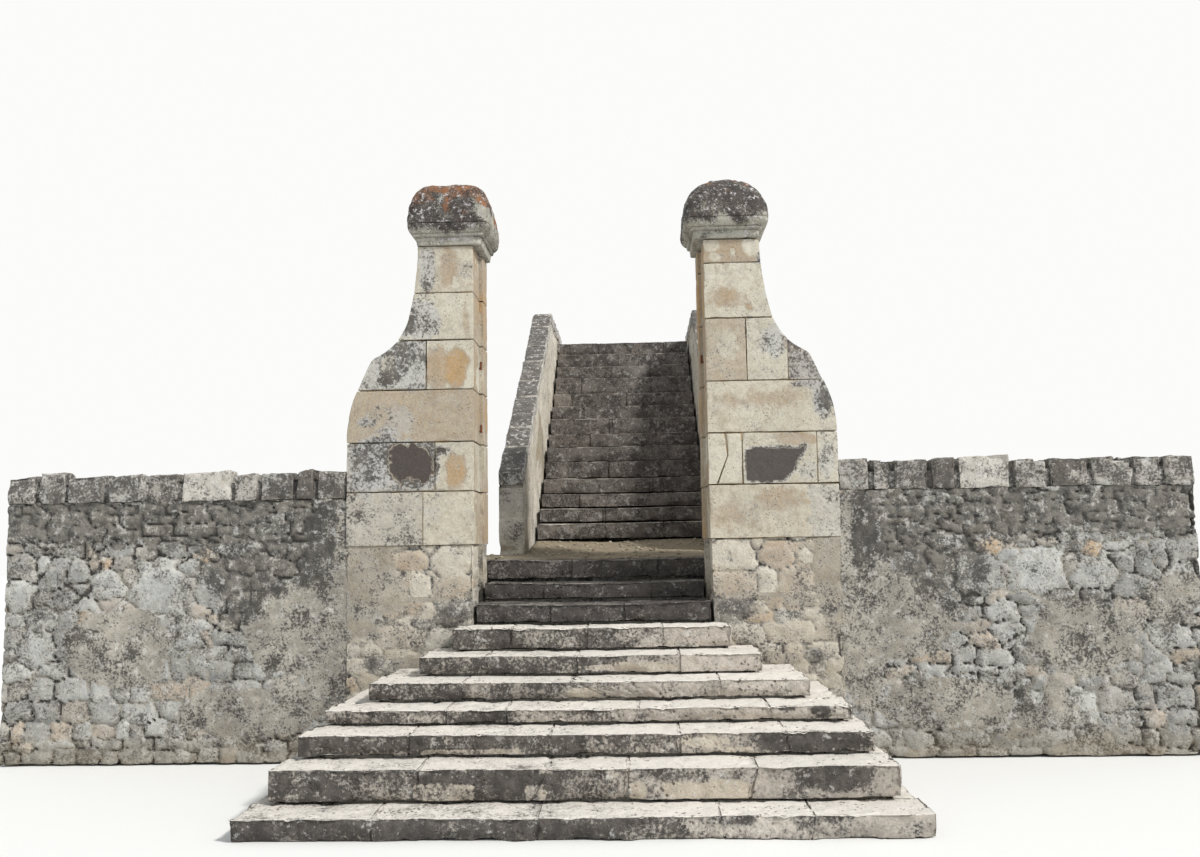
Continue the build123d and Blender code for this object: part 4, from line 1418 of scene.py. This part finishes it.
def buildCores(values):
    lo, hi = corners("upper_core")
    parts, fill = [], values["fill"]
    foot = lo[2] - fill["inset"]
    for i in range(1, upperFlight["count"]):  # filling under each step
        top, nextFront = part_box(f"upper_step_{i}")[1][2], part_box(f"upper_step_{i + 1}")[0][1]
        low, high = (lo[0], nextFront + fill["behind"], foot), (hi[0], hi[1] - fill["short"], top - fill["below"])
        parts.append(filling(low, high, fill["inset"]))
        foot = top - fill["lap"]
    low = (lo[0] + values["backClear"], hi[1] - values["backThickness"], lo[2])
    high = (hi[0] - values["backClear"], hi[1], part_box("top_landing_flags")[0][2] - 0.002)
    stones = coursedStones(low, high, parapetForm["usual"], 1300)
    parts.append(rubbleBlock(low, high, values["look"], stones, 1301, ("x-", "x+", "y-", "z-", "z+")))
    makePiece("upper_core_masonry", parts, materials["rubbleStone"], "rubble_masonry", "upper_core")

    lo, hi = corners("landing_core")
    front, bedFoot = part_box("left_parapet_wall")[0][1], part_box("landing_bed")[0][2]
    high = (hi[0], front, bedFoot)
    stones = coursedStones(lo, high, values["landingUsual"], 1310)
    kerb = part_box("lower_step_10")
    kerbBack = kerb[0][1] + values["kerbDeep"]

    def behindKerb(points):  # the core starts behind the top gate step
        ahead = (np.abs(points[:, 0]) < kerb[1][0]) & (points[:, 1] < kerbBack)
        return np.stack([points[:, 0], np.where(ahead, kerbBack, points[:, 1]), points[:, 2]], 1)

    parts = [rubbleBlock(lo, high, values["look"], stones, 1311, ("z-", "z+"), shape=behindKerb)]
    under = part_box("upper_step_1")
    parts.append(filling((under[0][0], front - 0.05, lo[2] - 0.01), (under[1][0], hi[1], bedFoot), 0.01))
    makePiece("landing_core_masonry", parts, materials["rubbleStone"], "rubble_masonry", "landing_core")


buildCores(coreForm)

landing = {
    "grid": 0.036,
    "layers": 8,  # of cells in its thickness
    "lumps": 0.022,
    "path": {"middle": 0.05, "half": 0.4, "deep": 0.02},  # worn across
    "riseFrom": 1.0,
    "lap": 0.02,  # of its two halves
    "underKerb": 0.05,  # how far it dips there
    "pebbles": 420,
    "pebbleSize": (0.008, 0.028),
    "pebbleClear": {"edge": 0.05, "back": 0.06, "kerbEnd": 0.02, "kerb": 0.03, "step": 0.04},
}


def landingLevel(points):
    back, path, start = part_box("landing_bed")[1], landing["path"], landing["riseFrom"]
    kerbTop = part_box("lower_step_10")[1][2]
    rise = np.clip((points[:, 1] - start) / (back[1] - start), 0, 1)
    level = kerbTop + (back[2] - kerbTop) * rise - landing["lumps"] * noise(points * (1, 1, 0), 0.16, 1401, 4)
    return level - path["deep"] * np.exp(-(((points[:, 0] - path["middle"]) / path["half"]) ** 2))


def pebble(centre, size, rng):
    ball, faces = boxShell(*([np.array([-1.0, 0, 1])] * 3))
    ball /= np.linalg.norm(ball, axis=1, keepdims=True)
    turn = rng.uniform(0, math.pi)
    ball = ball * size * (1, rng.uniform(0.6, 0.9), rng.uniform(0.4, 0.65)) * rng.uniform(0.85, 1.1, (len(ball), 1))
    x, y = ball[:, 0].copy(), ball[:, 1].copy()
    ball[:, 0], ball[:, 1] = x * math.cos(turn) - y * math.sin(turn), x * math.sin(turn) + y * math.cos(turn)
    return part(ball + centre, faces, (rng.uniform(0.4, 1), 0.3, 0, 0), 0)


def buildLanding():
    lo, hi = corners("landing_bed")
    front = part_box("left_parapet_wall")[0][1]
    stepLo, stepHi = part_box("upper_step_1")
    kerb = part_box("lower_step_10")
    parts, rng = [], np.random.default_rng(1400)
    for low, high, plain in (
        (lo, (hi[0], front, hi[2]), ("z-",)),
        ((stepLo[0], front - landing["lap"], lo[2]), (stepHi[0], hi[1], hi[2]), ("z-", "y-", "x-", "x+", "y+")),
    ):
        grids = [np.linspace(low[k], high[k], max(2, int((high[k] - low[k]) / landing["grid"]))) for k in (0, 1)]
        points, faces = boxShell(*grids, np.linspace(low[2], high[2], landing["layers"]), plain)
        upper = (points[:, 2] - low[2]) / (high[2] - low[2])
        inKerb = (np.abs(points[:, 0]) < kerb[1][0] + 0.01) & (points[:, 1] < kerb[1][1])
        points[:, 2] = low[2] + (landingLevel(points) - landing["underKerb"] * inKerb - low[2]) * upper
        kerbBack = kerb[0][1] + coreForm["kerbDeep"]
        points[:, 1] = np.where(inKerb, np.maximum(points[:, 1], kerbBack), points[:, 1])
        parts.append(part(points, faces, (0.5, 0.2, 0.0, 0.0)))
    clear = landing["pebbleClear"]
    for _ in range(landing["pebbles"]):
        x = rng.uniform(lo[0] + clear["edge"], hi[0] - clear["edge"])
        y = rng.uniform(lo[1] + clear["edge"], hi[1] - clear["back"])
        onKerb = abs(x) < kerb[1][0] + clear["kerbEnd"] and y < kerb[1][1] + clear["kerb"]
        inWall = y > front - clear["edge"] and not stepLo[0] + clear["step"] < x < stepHi[0] - clear["step"]
        if onKerb or inWall:
            continue
        size = rng.uniform(*landing["pebbleSize"])
        level = landingLevel(np.array([[x, y, 0.0]]))[0]
        parts.append(pebble((x, y, level + 0.1 * size), size, rng))
    makePiece("landing_earth", parts, materials["troddenEarth"], "landing_earth", "landing_bed")


otherFinishes = {
    "troddenEarth": {
        "scale": 2.2, "pits": 1.0, "deep": paint(112, 100, 82), "pale": paint(168, 156, 133),
        "damp": paint(104, 95, 78), "pebble": paint(176, 166, 146), "roughness": 0.95, "metal": 0.0,
        "bump": (1.0, 0.01),
    },
    "rustedIron": {
        "scale": 6.0, "pits": 0.6, "deep": paint(58, 34, 24), "pale": paint(142, 76, 38), "roughness": 0.85,
        "metal": 0.2, "bump": (0.8, 0.003),
    },
}


def makeOther(name):
    # Trodden earth with its pebbles, or rusted iron
    look = otherFinishes[name]
    material, tree, shader = newMaterial(name)
    grain = placeGroup(tree, stoneGrain, {"Scale": look["scale"], "Pit Size": look["pits"]})
    colour = mix(tree, grain["Mottle"], look["deep"], look["pale"])
    if "pebble" in look:
        colour = mix(tree, mask(tree, grain["Blotch"], 0.45, 0.65, 0.4), colour, look["damp"])
        tint = add(tree, "Attribute", attribute_name="tint").outputs["Color"]
        stone = add(tree, "SeparateColor", {0: tint}).outputs[0]
        colour = mix(tree, mask(tree, stone, 0.55, 0.8), colour, look["pebble"])
    tree.links.new(colour, shader.inputs["Base Color"])
    shader.inputs["Roughness"].default_value = look["roughness"]
    shader.inputs["Metallic"].default_value = look["metal"]
    strength, distance = look["bump"]
    bump = add(tree, "Bump", {"Strength": strength, "Distance": distance, "Height": grain["Height"]})
    tree.links.new(bump.outputs[0], shader.inputs["Normal"])
    return material


materials.update({name: makeOther(name) for name in otherFinishes})
buildLanding()
print("landing laid")


# Hinge pins left in the rebates of the gate

pins = {
    "radius": 0.008,
    "tall": 0.055,
    "arm": 0.02,
    "depth": 0.335,
    "cuts": 9,  # of the mesh along each side
    "rough": 0.002,
    "levels": {"left": [3.094, 2.574], "right": [3.11]},
}


def rod(start, end, radius, seed):
    start, end = np.array(start, float), np.array(end, float)
    axis = int(np.abs(end - start).argmax())
    lo, hi = np.minimum(start, end) - radius, np.maximum(start, end) + radius
    lo[axis], hi[axis] = lo[axis] + radius, hi[axis] - radius
    points, faces = boxShell(*(np.linspace(lo[k], hi[k], pins["cuts"]) for k in range(3)))
    centre = (lo + hi) / 2
    across = [k for k in range(3) if k != axis]
    offset = points[:, across] - centre[across]
    square = np.abs(offset).max(axis=1)
    length = np.maximum(np.linalg.norm(offset, axis=1), 1e-9)
    points[:, across] = centre[across] + offset * (square / length)[:, None]
    points += pins["rough"] * (np.stack([noise(points, 0.012, seed + k) for k in range(3)], 1) - 0.5)
    return part(points, faces, (0.5, 0.5, 0.5, 0))


def buildPins():
    radius, depth = pins["radius"], pins["depth"]
    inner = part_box("right_pier_base")[0][0] + pierForm["rebateDeep"]
    x = inner - pins["arm"] + radius
    for side, levels in pins["levels"].items():
        parts = []
        for k, z in enumerate(levels):
            parts.append(rod((x, depth, z - 0.01), (x, depth, z + pins["tall"]), radius, 20 + k))
            parts.append(rod((x, depth, z), (inner + 0.03, depth, z), radius * 0.9, 30 + k))
        parts = [onSide(p, side) for p in parts]
        makePiece(f"{side}_hinge_pins", parts, materials["rustedIron"], "pier_ashlar")


buildPins()

# The lower core shows only as the bed behind open joints
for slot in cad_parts["lower_core"].material_slots:
    slot.material = materials["rubbleStone"]
print("cores and pins done")


# Floor, light and camera


studio = {
    "floor": {"size": 60.0, "colour": (0.8, 0.8, 0.78, 1), "roughness": 0.9},
    "sun": {"from": (7.2, -4.7, 8.0), "strength": 3.1, "angle": 7.0, "colour": (1.0, 0.98, 0.95)},
    "fill": {"strength": 0.64, "colour": (0.92, 0.96, 1.0, 1), "seen": (0.97, 0.97, 0.96, 1)},  # seen: the backdrop
    "camera": {
        "place": (0.358, -8.64, 1.674), "yaw": 1.861, "pitch": 5.766, "roll": 0.9, "lens": 33.3, "sensor": 36.0,
    },
}


def makeFloor(values):
    size = values["size"]
    mesh = bpy.data.meshes.new("studio_floor")
    mesh.from_pydata([(-size, -size, 0), (size, -size, 0), (size, size, 0), (-size, size, 0)], [], [(0, 1, 2, 3)])
    floor = bpy.data.objects.new("studio_floor", mesh)
    bpy.context.scene.collection.objects.link(floor)
    material, _, shader = newMaterial("floorPaint")
    shader.inputs["Base Color"].default_value = values["colour"]
    shader.inputs["Roughness"].default_value = values["roughness"]
    mesh.materials.append(material)


def makeSun(values):
    light = bpy.data.lights.new("sun", "SUN")
    light.energy = values["strength"]
    light.angle = math.radians(values["angle"])
    light.color = values["colour"]
    lamp = bpy.data.objects.new("sun", light)
    bpy.context.scene.collection.objects.link(lamp)
    x, y, z = values["from"]
    lamp.location = (x, y, z)
    lamp.rotation_euler = (math.atan2(math.hypot(x, y), z), 0, math.atan2(y, x) + math.pi / 2)


def makeSky(values):
    # Soft light from all round, in front of a plain pale backdrop
    world = bpy.data.worlds.new("studio")
    bpy.context.scene.world = world
    world.use_nodes = True
    tree = world.node_tree
    back = tree.nodes["Background"]
    rays = add(tree, "LightPath").outputs
    seen = mathOf(tree, "MAXIMUM", rays["Is Camera Ray"], rays["Is Glossy Ray"])
    seen = mathOf(tree, "MAXIMUM", seen, rays["Is Transmission Ray"])
    tree.links.new(mix(tree, seen, values["colour"], values["seen"]), back.inputs["Color"])
    tree.links.new(plus(tree, values["strength"], seen, 1.0 - values["strength"]), back.inputs["Strength"])


def makeCamera(values):
    data = bpy.data.cameras.new("camera")
    data.lens, data.sensor_width, data.clip_end = values["lens"], values["sensor"], 200.0
    camera = bpy.data.objects.new("camera", data)
    bpy.context.scene.collection.objects.link(camera)
    yaw, pitch, roll = (math.radians(values[key]) for key in ("yaw", "pitch", "roll"))
    ahead = Vector((-math.sin(yaw) * math.cos(pitch), math.cos(yaw) * math.cos(pitch), math.sin(pitch)))
    right = Vector((math.cos(yaw), math.sin(yaw), 0))
    up = right.cross(ahead)
    leanRight = right * math.cos(roll) - up * math.sin(roll)
    leanUp = right * math.sin(roll) + up * math.cos(roll)
    matrix = Matrix((leanRight, leanUp, -ahead)).transposed().to_4x4()
    matrix.translation = values["place"]
    camera.matrix_world = matrix
    bpy.context.scene.camera = camera


makeFloor(studio["floor"])
makeSun(studio["sun"])
makeSky(studio["fill"])
makeCamera(studio["camera"])
bpy.context.scene.view_settings.view_transform = "Standard"
print("floor, light and camera set")
